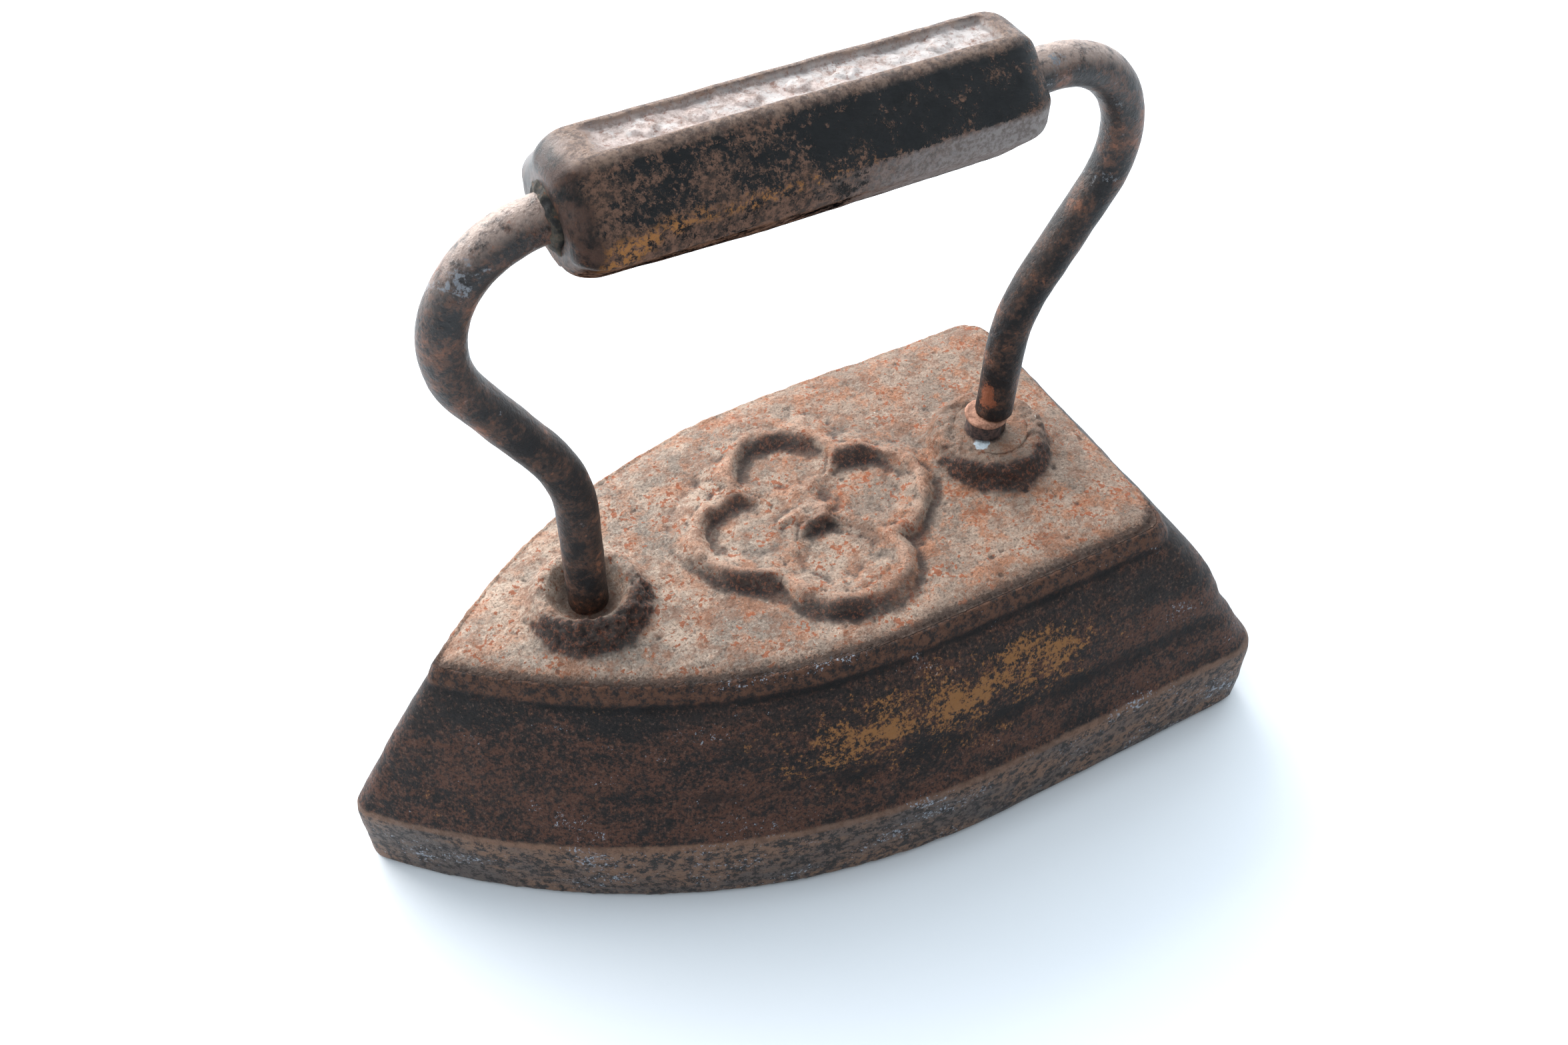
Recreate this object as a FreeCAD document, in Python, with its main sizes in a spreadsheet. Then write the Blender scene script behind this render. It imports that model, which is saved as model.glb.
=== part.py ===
import FreeCAD, Part
import math
import os
import re

import Sketcher

# A solid sad iron: one heavy wedge-shaped casting that was heated on a stove, and a bent
# round rod that carries a hollow cast grip. Nothing on it moves.
# Millimetres. +X points to the nose, +Z up, and the origin lies on the sole under the
# middle of the overall length. The iron is symmetric about the XZ plane.

DIMENSIONS = {
    # Body casting: an upright sole band, a flank that bulges above a slight cove, and a rim.
    "sole_nose": 85.0,
    "sole_back": 85.0,
    "sole_half_width": 48.4,
    "sole_arc_start": -24.5,
    "sole_nose_radius": 3.0,
    "sole_corner_radius": 6.0,
    "band_height": 17.5,
    "ledge_width": 1.0,
    "cove_height": 27.0,
    "cove_spread_x": 14.6,
    "cove_spread_y": 12.0,
    "body_height": 48.4,
    "top_nose": 64.0,
    "top_back": 64.0,
    "top_half_width": 31.2,
    "top_arc_start": -13.0,
    "top_nose_radius": 1.6,
    "top_corner_radius": 5.0,
    "rim_height": 4.6,
    "rim_spread": 3.2,
    "sole_edge_fillet": 1.5,
    "band_edge_fillet": 1.0,
    "rim_fillet": 1.2,
    # Round bosses on the top face, each with a dish and a blind socket for the rod.
    "front_foot": 37.0,
    "rear_foot": 46.5,
    "boss_height": 4.2,
    "front_boss_foot_radius": 11.0,
    "front_boss_rim_radius": 9.0,
    "front_dish_radius": 7.0,
    "front_dish_depth": 3.6,
    "rear_boss_foot_radius": 11.8,
    "rear_boss_rim_radius": 10.3,
    "rear_dish_radius": 6.2,
    "rear_dish_depth": 0.6,
    "socket_radius": 5.4,
    "socket_depth": 14.0,
    # Plain quatrefoil ridge and lozenge cast on the top face.
    "relief_centre": 7.0,
    "relief_height": 1.6,
    "lobe_distance": 11.4,
    "lobe_radius": 10.8,
    "ridge_width": 4.6,
    "lozenge_length": 12.0,
    "lozenge_width": 8.0,
    # Bent handle rod, in the XZ plane.
    "rod_radius": 3.6,
    "rod_height": 129.3,
    "knee_height": 71.7,
    "lower_bend_radius": 30.7,
    "rod_slant": 18.7,
    "upper_bend_radius": 17.2,
    "tenon_radius": 2.8,
    # Collar that stands on the rear lead and carries the rod's shoulder.
    "collar_height": 5.0,
    "collar_radius": 4.2,
    "collar_offset": 1.0,
    # Octagonal hollow grip round the rod's level run.
    "grip_length": 75.0,
    "grip_centre": 1.4,
    "grip_half_width": 11.6,
    "grip_half_height": 9.9,
    "grip_top_half_flat": 4.3,
    "grip_side_half_flat": 2.4,
    "grip_edge_fillet": 1.4,
    "grip_end_fillet": 3.0,
    "grip_bore_radius": 6.6,
    "panel_length": 63.0,
    "panel_width": 6.2,
    "panel_depth": 0.8,
    "panel_bead_height": 0.6,
    "panel_bead_radius": 1.5,
    "panel_bead_pitch": 7.6,
    "plug_length": 5.0,
    "plug_recess": 0.8,
}
PANEL_LOZENGES = 4
PANEL_BEADS = 3
COLLAR_FOOT = "body_height + boss_height - rear_dish_depth"
SHOULDER = f"{COLLAR_FOOT} + collar_height"

doc = FreeCAD.newDocument("sad_iron")


def make_sheet():
    """Keep the driving dimensions in a spreadsheet, one aliased cell each."""
    sheet = doc.addObject("Spreadsheet::Sheet", "dimensions")
    for row, (name, value) in enumerate(DIMENSIONS.items(), 1):
        sheet.set(f"A{row}", name)
        sheet.set(f"B{row}", str(value))
        sheet.setAlias(f"B{row}", name)
    doc.recompute()
    return sheet


sheet = make_sheet()


def bound(formula):
    """Turn a formula of cell names into an expression that reads the sheet."""
    return re.sub(r"[a-z]\w*", lambda name: f"dimensions.{name.group()}", formula)


def value(formula):
    """The number that a formula of cell names gives now."""
    return float(sheet.evalExpression(bound(formula)))


def new_body(label, x="0", z="0"):
    body = doc.addObject("PartDesign::Body", label)
    body.Label = label
    body.setExpression("Placement.Base.x", bound(x))
    body.setExpression("Placement.Base.z", bound(z))
    return body


def new_sketch(body, name, plane, level="0"):
    """A sketch on one of the body's own origin planes, moved along the plane's normal."""
    sketch = body.newObject("Sketcher::SketchObject", name)
    planes = {feature.Role: feature for feature in body.Origin.OriginFeatures}
    sketch.AttachmentSupport = [(planes[plane], "")]
    sketch.MapMode = "FlatFace"
    sketch.setExpression("AttachmentOffset.Base.z", bound(level))
    return sketch


def dimension(sketch, kind, places, formula):
    """Add one driving constraint and bind it to the sheet."""
    index = sketch.addConstraint(Sketcher.Constraint(kind, *places, value(formula)))
    sketch.setExpression(f"Constraints[{index}]", bound(formula))


def pin_point(sketch, geometry, position, x, y):
    """Fix a point of the sketch at two formulas."""
    dimension(sketch, "DistanceX", (-1, 1, geometry, position), x)
    dimension(sketch, "DistanceY", (-1, 1, geometry, position), y)


def add_circle(sketch, x, y, radius):
    centre = FreeCAD.Vector(value(x), value(y), 0)
    circle = Part.Circle(centre, FreeCAD.Vector(0, 0, 1), value(radius))
    index = sketch.addGeometry(circle)
    dimension(sketch, "Radius", (index,), radius)
    pin_point(sketch, index, 3, x, y)


def add_polygon(sketch, points):
    """A closed polygon whose corners are pairs of formulas."""
    corners = [FreeCAD.Vector(value(x), value(y), 0) for x, y in points]
    first = sketch.GeometryCount
    count = len(corners)
    for i in range(count):
        sketch.addGeometry(Part.LineSegment(corners[i], corners[(i + 1) % count]))
    for i in range(count):
        joint = (first + i, 2, first + (i + 1) % count, 1)
        sketch.addConstraint(Sketcher.Constraint("Coincident", *joint))
        pin_point(sketch, first + i, 1, *points[i])


def arc(centre_x, centre_y, radius, start, end):
    circle = Part.Circle(FreeCAD.Vector(centre_x, centre_y, 0), FreeCAD.Vector(0, 0, 1), radius)
    return Part.ArcOfCircle(circle, start, end)


def line(start, end):
    return Part.LineSegment(FreeCAD.Vector(*start, 0), FreeCAD.Vector(*end, 0))


def plan_outline(body, name, level, nose, back, half_width, arc_start, nose_radius, corner_radius):
    """The iron's outline: a rounded nose, two long arcs, straight sides and a square back."""
    sketch = new_sketch(body, name, "XY_Plane", level)
    wide = value(half_width)
    tangent_x = value(arc_start)
    nose_r = value(nose_radius)
    nose_x = value(nose) - nose_r
    corner_r = value(corner_radius)
    corner_x = corner_r - value(back)
    run = nose_x - tangent_x
    side_r = (run**2 + wide**2 - nose_r**2) / (2 * (wide - nose_r))
    turn = math.atan2(side_r - wide, run)
    sketch.addGeometry(
        [
            arc(tangent_x, wide - side_r, side_r, turn, math.pi / 2),
            line((tangent_x, wide), (corner_x, wide)),
            arc(corner_x, wide - corner_r, corner_r, math.pi / 2, math.pi),
            line((corner_x - corner_r, wide - corner_r), (corner_x - corner_r, corner_r - wide)),
            arc(corner_x, corner_r - wide, corner_r, math.pi, 1.5 * math.pi),
            line((corner_x, -wide), (tangent_x, -wide)),
            arc(tangent_x, side_r - wide, side_r, 1.5 * math.pi, 2 * math.pi - turn),
            arc(nose_x, 0, nose_r, -turn, turn),
        ]
    )
    for i in range(8):
        sketch.addConstraint(Sketcher.Constraint("Tangent", i, 2, (i + 1) % 8, 1))
    sketch.addConstraint(
        [
            Sketcher.Constraint("Horizontal", 1),
            Sketcher.Constraint("Horizontal", 5),
            Sketcher.Constraint("Symmetric", 3, 1, 3, 2, -1),
            Sketcher.Constraint("Equal", 2, 4),
            Sketcher.Constraint("Equal", 0, 6),
            Sketcher.Constraint("PointOnObject", 7, 3, -1),
        ]
    )
    dimension(sketch, "DistanceX", (-1, 1, 7, 3), f"{nose} - ({nose_radius})")
    dimension(sketch, "Radius", (7,), nose_radius)
    dimension(sketch, "DistanceX", (3, 1, -1, 1), back)
    dimension(sketch, "DistanceY", (-1, 1, 1, 1), half_width)
    dimension(sketch, "DistanceX", (-1, 1, 1, 1), arc_start)
    dimension(sketch, "Radius", (2,), corner_radius)
    return sketch


def add_pad(body, name, sketch, length, reverse=False, both_sides=False):
    pad = body.newObject("PartDesign::Pad", name)
    pad.Profile = sketch
    pad.Reversed = reverse
    if both_sides:
        pad.Midplane = True
    pad.setExpression("Length", bound(length))
    return pad


def add_pocket(body, name, sketch, length):
    pocket = body.newObject("PartDesign::Pocket", name)
    pocket.Profile = sketch
    pocket.setExpression("Length", bound(length))
    return pocket


def add_loft(body, name, lower, upper):
    loft = body.newObject("PartDesign::AdditiveLoft", name)
    loft.Profile = lower
    loft.Sections = [upper]
    loft.Ruled = True
    return loft


def add_fillet(body, name, keep_edge, radius):
    """Round the edges of the body's tip that keep_edge accepts."""
    doc.recompute()
    tip = body.Tip
    names = [f"Edge{i}" for i, edge in enumerate(tip.Shape.Edges, 1) if keep_edge(edge)]
    fillet = body.newObject("PartDesign::Fillet", name)
    fillet.Base = (tip, names)
    fillet.setExpression("Radius", bound(radius))
    return fillet


def level_edge(height):
    """A test for edges that lie flat at one height."""
    z = value(height)
    return lambda edge: abs(edge.BoundBox.ZMin - z) < 0.01 and abs(edge.BoundBox.ZMax - z) < 0.01


def add_boss(body, side, foot):
    """A low conical boss with a dish in its top, turned about the rod's foot."""
    sketch = new_sketch(body, f"{side}_boss_profile", "XZ_Plane")
    root = "body_height - boss_height"
    rim = "body_height + boss_height"
    add_polygon(
        sketch,
        [
            (foot, root),
            (f"{foot} + {side}_boss_foot_radius", root),
            (f"{foot} + {side}_boss_foot_radius", "body_height"),
            (f"{foot} + {side}_boss_rim_radius", rim),
            (f"{foot} + {side}_dish_radius", rim),
            (f"{foot} + socket_radius", f"{rim} - {side}_dish_depth"),
            (foot, f"{rim} - {side}_dish_depth"),
        ],
    )
    boss = body.newObject("PartDesign::Revolution", f"{side}_boss")
    boss.Profile = sketch
    boss.ReferenceAxis = (sketch, ["Edge7"])
    boss.Angle = 360
    return boss


def add_socket(body, side, foot):
    """A blind round hole down through the boss into the casting."""
    sketch = new_sketch(body, f"{side}_socket_profile", "XY_Plane", "body_height + boss_height")
    add_circle(sketch, foot, "0", "socket_radius")
    return add_pocket(body, f"{side}_socket", sketch, "boss_height + socket_depth")


def add_quatrefoil(sketch, centre, radius):
    """Four equal lobes that meet on the diagonals, as one closed line of arcs."""
    distance = value("lobe_distance")
    lobe = value(radius)
    meeting = (distance + math.sqrt(2 * lobe**2 - distance**2)) / 2
    half_turn = math.atan2(meeting, meeting - distance)
    first = sketch.GeometryCount
    directions = [(1, 0), (0, 1), (-1, 0), (0, -1)]
    for i, (along, across) in enumerate(directions):
        heading = i * math.pi / 2
        x = value(centre) + along * distance
        y = across * distance
        sketch.addGeometry(arc(x, y, lobe, heading - half_turn, heading + half_turn))
    for i, (along, across) in enumerate(directions):
        joint = (first + i, 2, first + (i + 1) % 4, 1)
        sketch.addConstraint(Sketcher.Constraint("Coincident", *joint))
        dimension(sketch, "Radius", (first + i,), radius)
        x = f"{centre} + {along} * lobe_distance"
        pin_point(sketch, first + i, 3, x, f"{across} * lobe_distance")


def add_relief(body):
    """The raised ridge and lozenge on the top face, rooted a little inside it."""
    centre = "0 - relief_centre"
    ridge = new_sketch(body, "quatrefoil_outline", "XY_Plane", "body_height - relief_height")
    add_quatrefoil(ridge, centre, "lobe_radius + ridge_width / 2")
    add_quatrefoil(ridge, centre, "lobe_radius - ridge_width / 2")
    add_pad(body, "quatrefoil_ridge", ridge, "2 * relief_height")
    lozenge = new_sketch(body, "lozenge_outline", "XY_Plane", "body_height - relief_height")
    add_polygon(
        lozenge,
        [
            (f"{centre} + lozenge_length / 2", "0"),
            (centre, "lozenge_width / 2"),
            (f"{centre} - lozenge_length / 2", "0"),
            (centre, "0 - lozenge_width / 2"),
        ],
    )
    return add_pad(body, "lozenge", lozenge, "2 * relief_height")


def make_body_casting():
    body = new_body("body_casting")
    sole_sizes = ("sole_arc_start", "sole_nose_radius", "sole_corner_radius")
    top_sizes = ("top_arc_start", "top_nose_radius", "top_corner_radius")
    sole = plan_outline(
        body, "sole_outline", "0", "sole_nose", "sole_back", "sole_half_width", *sole_sizes
    )
    add_pad(body, "sole_band", sole, "band_height")
    add_fillet(body, "sole_edge", level_edge("0"), "sole_edge_fillet")
    add_fillet(body, "band_edge", level_edge("band_height"), "band_edge_fillet")
    ledge = plan_outline(
        body,
        "ledge_outline",
        "band_height",
        "sole_nose - ledge_width",
        "sole_back - ledge_width",
        "sole_half_width - ledge_width",
        *sole_sizes,
    )
    cove = plan_outline(
        body,
        "cove_outline",
        "cove_height",
        "top_nose + cove_spread_x",
        "top_back + cove_spread_x",
        "top_half_width + cove_spread_y",
        *sole_sizes,
    )
    rim_foot = plan_outline(
        body,
        "rim_foot_outline",
        "body_height - rim_height",
        "top_nose + rim_spread",
        "top_back + rim_spread",
        "top_half_width + rim_spread",
        *top_sizes,
    )
    add_loft(body, "lower_flank", ledge, cove)
    add_loft(body, "upper_flank", cove, rim_foot)
    rim = plan_outline(
        body, "rim_outline", "body_height", "top_nose", "top_back", "top_half_width", *top_sizes
    )
    add_loft(body, "rim", rim_foot, rim)
    add_fillet(body, "rim_edge", level_edge("body_height"), "rim_fillet")
    for side, foot in (("front", "front_foot"), ("rear", "0 - rear_foot")):
        add_boss(body, side, foot)
        add_socket(body, side, foot)
    add_relief(body)
    return body


def rod_path(body):
    """The rod's centre line: up from the front foot, over through the grip, down at the rear."""
    sketch = new_sketch(body, "rod_centre_line", "XZ_Plane")
    low_r = value("lower_bend_radius")
    high_r = value("upper_bend_radius")
    slant = value("rod_slant")
    rise = value("rod_height - knee_height") - high_r
    # The lean of the slanted run: (low_r + high_r) * sin(lean) + slant * cos(lean) = rise.
    reach = math.hypot(low_r + high_r, slant)
    lean = math.asin(rise / reach) - math.atan2(slant, low_r + high_r)
    knee = value("knee_height")
    front = value("front_foot")
    rear = -value("rear_foot")
    low = value("body_height - socket_depth")
    shoulder = value(SHOULDER)
    top = value("rod_height")
    slant_low = (low_r * (1 - math.cos(lean)), knee + low_r * math.sin(lean))
    slant_high = (
        slant_low[0] + slant * math.sin(lean),
        slant_low[1] + slant * math.cos(lean),
    )
    bend_out = slant_high[0] - high_r * math.cos(lean)
    bend_z = top - high_r
    right = math.pi / 2
    sketch.addGeometry(
        [
            line((front, low), (front, knee)),
            arc(front + low_r, knee, low_r, math.pi - lean, math.pi),
            line((front + slant_low[0], slant_low[1]), (front + slant_high[0], slant_high[1])),
            arc(front + bend_out, bend_z, high_r, -lean, right),
            line((front + bend_out, top), (rear - bend_out, top)),
            arc(rear - bend_out, bend_z, high_r, right, math.pi + lean),
            line((rear - slant_high[0], slant_high[1]), (rear - slant_low[0], slant_low[1])),
            arc(rear - low_r, knee, low_r, 0, lean),
            line((rear, knee), (rear, shoulder)),
        ]
    )
    # Arcs run anticlockwise, so those of the lower bends are met end first.
    ends = [(1, 2), (2, 1), (1, 2), (1, 2), (1, 2), (1, 2), (1, 2), (2, 1), (1, 2)]
    for i in range(8):
        joint = (i, ends[i][1], i + 1, ends[i + 1][0])
        sketch.addConstraint(Sketcher.Constraint("Tangent", *joint))
    sketch.addConstraint(
        [
            Sketcher.Constraint("Vertical", 0),
            Sketcher.Constraint("Horizontal", 4),
            Sketcher.Constraint("Vertical", 8),
            Sketcher.Constraint("Equal", 1, 7),
            Sketcher.Constraint("Equal", 3, 5),
            Sketcher.Constraint("Equal", 2, 6),
        ]
    )
    pin_point(sketch, 0, 1, "front_foot", "body_height - socket_depth")
    pin_point(sketch, 8, 2, "0 - rear_foot", SHOULDER)
    dimension(sketch, "DistanceY", (-1, 1, 0, 2), "knee_height")
    dimension(sketch, "DistanceY", (-1, 1, 8, 1), "knee_height")
    dimension(sketch, "Radius", (1,), "lower_bend_radius")
    dimension(sketch, "Radius", (3,), "upper_bend_radius")
    dimension(sketch, "Distance", (2, 1, 2, 2), "rod_slant")
    dimension(sketch, "DistanceY", (-1, 1, 4, 1), "rod_height")
    return sketch


def make_handle_rod():
    body = new_body("handle_rod")
    path = rod_path(body)
    section = new_sketch(body, "rod_section", "XY_Plane", "body_height - socket_depth")
    add_circle(section, "front_foot", "0", "rod_radius")
    bar = body.newObject("PartDesign::AdditivePipe", "bent_rod")
    bar.Profile = section
    bar.Spine = (path, [f"Edge{i}" for i in range(1, 10)])
    tenon = new_sketch(body, "tenon_section", "XY_Plane", "body_height - socket_depth")
    add_circle(tenon, "0 - rear_foot", "0", "tenon_radius")
    add_pad(body, "tenon", tenon, f"{SHOULDER} - body_height + socket_depth")
    return body


def long_edge(edge):
    return edge.BoundBox.XLength > value("grip_length") / 2


def end_edge(edge):
    return edge.BoundBox.XLength < 0.01


def bead_places():
    """Where the panel's ornaments stand along the grip: lozenges and beads by turns."""
    count = PANEL_LOZENGES + PANEL_BEADS
    return [(i - (count - 1) / 2, i % 2 == 0) for i in range(count)]


def add_panel(body):
    """A sunk panel along the grip's top flat, with a row of raised lozenges and beads."""
    panel = new_sketch(body, "panel_outline", "XY_Plane", "grip_half_height")
    half_length = "panel_length / 2"
    half_width = "panel_width / 2"
    add_polygon(
        panel,
        [
            (half_length, half_width),
            (f"0 - {half_length}", half_width),
            (f"0 - {half_length}", f"0 - {half_width}"),
            (half_length, f"0 - {half_width}"),
        ],
    )
    add_pocket(body, "panel", panel, "panel_depth")
    beads = new_sketch(body, "bead_outlines", "XY_Plane", "grip_half_height - panel_depth")
    for place, is_lozenge in bead_places():
        x = f"{place} * panel_bead_pitch"
        if is_lozenge:
            add_polygon(
                beads,
                [
                    (f"{x} + 1.5 * panel_bead_radius", "0"),
                    (x, "panel_bead_radius"),
                    (f"{x} - 1.5 * panel_bead_radius", "0"),
                    (x, "0 - panel_bead_radius"),
                ],
            )
        else:
            add_circle(beads, x, "0", "panel_bead_radius")
    add_pad(body, "beads", beads, "panel_bead_height")


def make_grip_casting():
    """An octagonal bar with rounded ends, bored through and panelled on top."""
    body = new_body("grip_casting", "0 - grip_centre", "rod_height")
    section = new_sketch(body, "grip_section", "YZ_Plane")
    wide = "grip_half_width"
    tall = "grip_half_height"
    flat = "grip_top_half_flat"
    side = "grip_side_half_flat"
    add_polygon(
        section,
        [
            (wide, side),
            (flat, tall),
            (f"0 - {flat}", tall),
            (f"0 - {wide}", side),
            (f"0 - {wide}", f"0 - {side}"),
            (f"0 - {flat}", f"0 - {tall}"),
            (flat, f"0 - {tall}"),
            (wide, f"0 - {side}"),
        ],
    )
    add_pad(body, "grip_bar", section, "grip_length", both_sides=True)
    add_fillet(body, "long_edges", long_edge, "grip_edge_fillet")
    add_fillet(body, "end_edges", end_edge, "grip_end_fillet")
    bore = new_sketch(body, "bore_outline", "YZ_Plane", "grip_length / 2")
    add_circle(bore, "0", "0", "grip_bore_radius")
    add_pocket(body, "bore", bore, "grip_length")
    add_panel(body)
    return body


def make_ring(label, outer, inner, length, place, along_x=False, outer_shift="0"):
    """A plain ring from two cylinders. place holds the formulas of its lower or rear end."""
    cylinders = []
    for role, radius, shift in (("outside", outer, outer_shift), ("bore", inner, "0")):
        cylinder = doc.addObject("Part::Cylinder", f"{label}_{role}")
        cylinder.setExpression("Radius", bound(radius))
        cylinder.setExpression("Height", bound(length))
        cylinder.setExpression("Placement.Base.x", bound(shift))
        cylinders.append(cylinder)
    ring = doc.addObject("Part::Cut", label)
    ring.Label = label
    ring.Base, ring.Tool = cylinders
    if along_x:
        turn = FreeCAD.Rotation(FreeCAD.Vector(0, 1, 0), 90)
        ring.Placement = FreeCAD.Placement(FreeCAD.Vector(), turn)
    ring.setExpression("Placement.Base.x", bound(place[0]))
    ring.setExpression("Placement.Base.z", bound(place[1]))
    return ring


def make_rings():
    """The core and plugs in the grip, the lead in the sockets and the rear collar."""
    front_end = "grip_length / 2 - grip_centre"
    rear_end = "0 - grip_length / 2 - grip_centre"
    plug_room = "plug_length + plug_recess"
    floor = "body_height - socket_depth"
    lead_height = "socket_depth + boss_height"
    bore = ("grip_bore_radius", "rod_radius")
    return [
        make_ring(
            "grip_core",
            *bore,
            f"grip_length - 2 * ({plug_room})",
            (f"{rear_end} + {plug_room}", "rod_height"),
            along_x=True,
        ),
        make_ring(
            "front_grip_plug",
            *bore,
            "plug_length",
            (f"{front_end} - ({plug_room})", "rod_height"),
            along_x=True,
        ),
        make_ring(
            "rear_grip_plug",
            *bore,
            "plug_length",
            (f"{rear_end} + plug_recess", "rod_height"),
            along_x=True,
        ),
        make_ring(
            "front_socket_lead",
            "socket_radius",
            "rod_radius",
            f"{lead_height} - front_dish_depth",
            ("front_foot", floor),
        ),
        make_ring(
            "rear_socket_lead",
            "socket_radius",
            "tenon_radius",
            f"{lead_height} - rear_dish_depth",
            ("0 - rear_foot", floor),
        ),
        make_ring(
            "rear_rod_collar",
            "collar_radius",
            "tenon_radius",
            "collar_height",
            ("0 - rear_foot", COLLAR_FOOT),
            outer_shift="collar_offset",
        ),
    ]


def check_document():
    """Stop if any object failed without raising."""
    for item in doc.Objects:
        if "Invalid" in item.State or "Error" in item.State:
            raise RuntimeError(f"{item.Label} failed: {item.State}")


def write_parts(parts):
    """Write each sub-part's solid to its own file."""
    os.makedirs("parts", exist_ok=True)
    for part in parts:
        shape = part.Shape
        if shape.isNull() or not shape.isValid():
            raise RuntimeError(f"{part.Label} has no valid shape")
        shape.exportStep(f"parts/{part.Label}.step")
        print(part.Label, "solids", len(shape.Solids), "volume", round(shape.Volume, 1))


parts = [make_body_casting(), make_handle_rod(), make_grip_casting(), *make_rings()]
doc.recompute()
check_document()
write_parts(parts)
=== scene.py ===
import math

import bmesh
import bpy
import numpy as np
from mathutils import Matrix, Vector, kdtree, noise


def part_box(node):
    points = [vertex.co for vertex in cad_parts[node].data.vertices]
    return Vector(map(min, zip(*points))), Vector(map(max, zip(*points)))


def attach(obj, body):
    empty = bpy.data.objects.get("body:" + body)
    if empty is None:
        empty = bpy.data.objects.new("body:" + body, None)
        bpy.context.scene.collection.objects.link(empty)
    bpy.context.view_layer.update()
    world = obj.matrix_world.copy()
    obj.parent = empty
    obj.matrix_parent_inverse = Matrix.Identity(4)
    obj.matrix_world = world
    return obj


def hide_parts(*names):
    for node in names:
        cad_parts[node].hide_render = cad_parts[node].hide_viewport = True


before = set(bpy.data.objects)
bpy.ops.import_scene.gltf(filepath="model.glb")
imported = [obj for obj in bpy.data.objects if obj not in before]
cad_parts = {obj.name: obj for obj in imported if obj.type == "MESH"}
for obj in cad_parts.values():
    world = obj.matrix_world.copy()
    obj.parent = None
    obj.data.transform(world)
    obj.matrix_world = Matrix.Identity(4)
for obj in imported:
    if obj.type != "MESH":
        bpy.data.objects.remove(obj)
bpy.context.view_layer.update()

MM = 0.001
TAU = 2 * math.pi

# Places and sizes read from the frame, in millimetres.


def box_mm(node):
    low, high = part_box(node)
    return np.array(low) / MM, np.array(high) / MM


BODY_LOW, BODY_HIGH = box_mm("body_casting")
_, ROD_HIGH = box_mm("handle_rod")
GRIP_LOW, GRIP_HIGH = box_mm("grip_casting")
FRONT_LEAD_LOW, FRONT_LEAD_HIGH = box_mm("front_socket_lead")
REAR_LEAD_LOW, REAR_LEAD_HIGH = box_mm("rear_socket_lead")
COLLAR_LOW, COLLAR_HIGH = box_mm("rear_rod_collar")
PLUG_LOW, PLUG_HIGH = box_mm("front_grip_plug")
REAR_PLUG_LOW, REAR_PLUG_HIGH = box_mm("rear_grip_plug")
CORE_LOW, CORE_HIGH = box_mm("grip_core")

FRONT_FOOT = (FRONT_LEAD_LOW[0] + FRONT_LEAD_HIGH[0]) / 2
REAR_FOOT = (REAR_LEAD_LOW[0] + REAR_LEAD_HIGH[0]) / 2
SOCKET_RADIUS = (FRONT_LEAD_HIGH[0] - FRONT_LEAD_LOW[0]) / 2
SOCKET_FLOOR = FRONT_LEAD_LOW[2]
BOSS_TOP = BODY_HIGH[2]
ROD_RADIUS = ROD_HIGH[1]
ROD_HEIGHT = (GRIP_LOW[2] + GRIP_HIGH[2]) / 2
GRIP_CENTRE = (GRIP_LOW[0] + GRIP_HIGH[0]) / 2
GRIP_LENGTH = GRIP_HIGH[0] - GRIP_LOW[0]
GRIP_HALF_WIDTH = GRIP_HIGH[1]
GRIP_HALF_HEIGHT = (GRIP_HIGH[2] - GRIP_LOW[2]) / 2
BORE_RADIUS = PLUG_HIGH[1]

# Shapes that the frame's boxes don't tell, in millimetres.

BODY_TOP = 48.4
TOP_NOSE = 64.0
TOP_BACK = -64.0
TOP_HALF_WIDTH = 31.2
# Start of the outline's long arcs and its radii, at the top and at the sole.
ARC_START = (-13.0, -24.5)
NOSE_RADIUS = (1.6, 3.0)
CORNER_RADIUS = (5.0, 6.0)
# Height above the sole, and how far the outline has spread from the top's to the sole's.
SIDE_PROFILE = [
    (0.0, 0.985),
    (0.6, 1.01),
    (1.6, 1.015),
    (15.8, 0.99),
    (16.9, 0.98),
    (17.6, 0.95),
    (18.1, 0.92),
    (20.5, 0.865),
    (23.5, 0.79),
    (26.0, 0.705),
    (27.4, 0.672),
    (30.0, 0.64),
    (34.0, 0.545),
    (38.0, 0.425),
    (41.5, 0.29),
    (43.2, 0.2),
    (44.2, 0.155),
    (45.4, 0.13),
    (46.6, 0.1),
    (47.5, 0.06),
    (48.1, 0.01),
    (48.4, -0.06),
]
NOSE_PROFILE = [
    (0.0, 0.965),
    (1.2, 0.98),
    (16.2, 1.0),
    (17.4, 0.98),
    (18.6, 0.94),
    (30.0, 0.6),
    (42.0, 0.22),
    (44.2, 0.15),
    (46.6, 0.08),
    (47.5, 0.055),
    (48.1, 0.01),
    (48.4, -0.06),
]
COVE_ENDS = (15.0, 68.0)
CREASE_HEIGHT = 43.9
# Foot, rim and dish radius of each boss.
FRONT_BOSS = (11.0, 9.0, 7.0)
REAR_BOSS = (11.8, 10.3, 6.2)

RELIEF_CENTRE = -7.0
RELIEF_HEIGHT = 1.8
LOBE_DISTANCE = 11.4
LOBE_RADIUS = 10.8
RIDGE_HALF_WIDTH = 2.3
LOZENGE_LENGTH = 12.0
LOZENGE_WIDTH = 8.0

KNEE_HEIGHT = 71.7
LOWER_BEND = 30.7
ROD_SLANT = 18.7
UPPER_BEND = 17.2
TENON_RADIUS = 2.8

GRIP_TOP_HALF_FLAT = 4.3
GRIP_SIDE_HALF_FLAT = 2.4
GRIP_CORNER = 2.2
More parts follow.
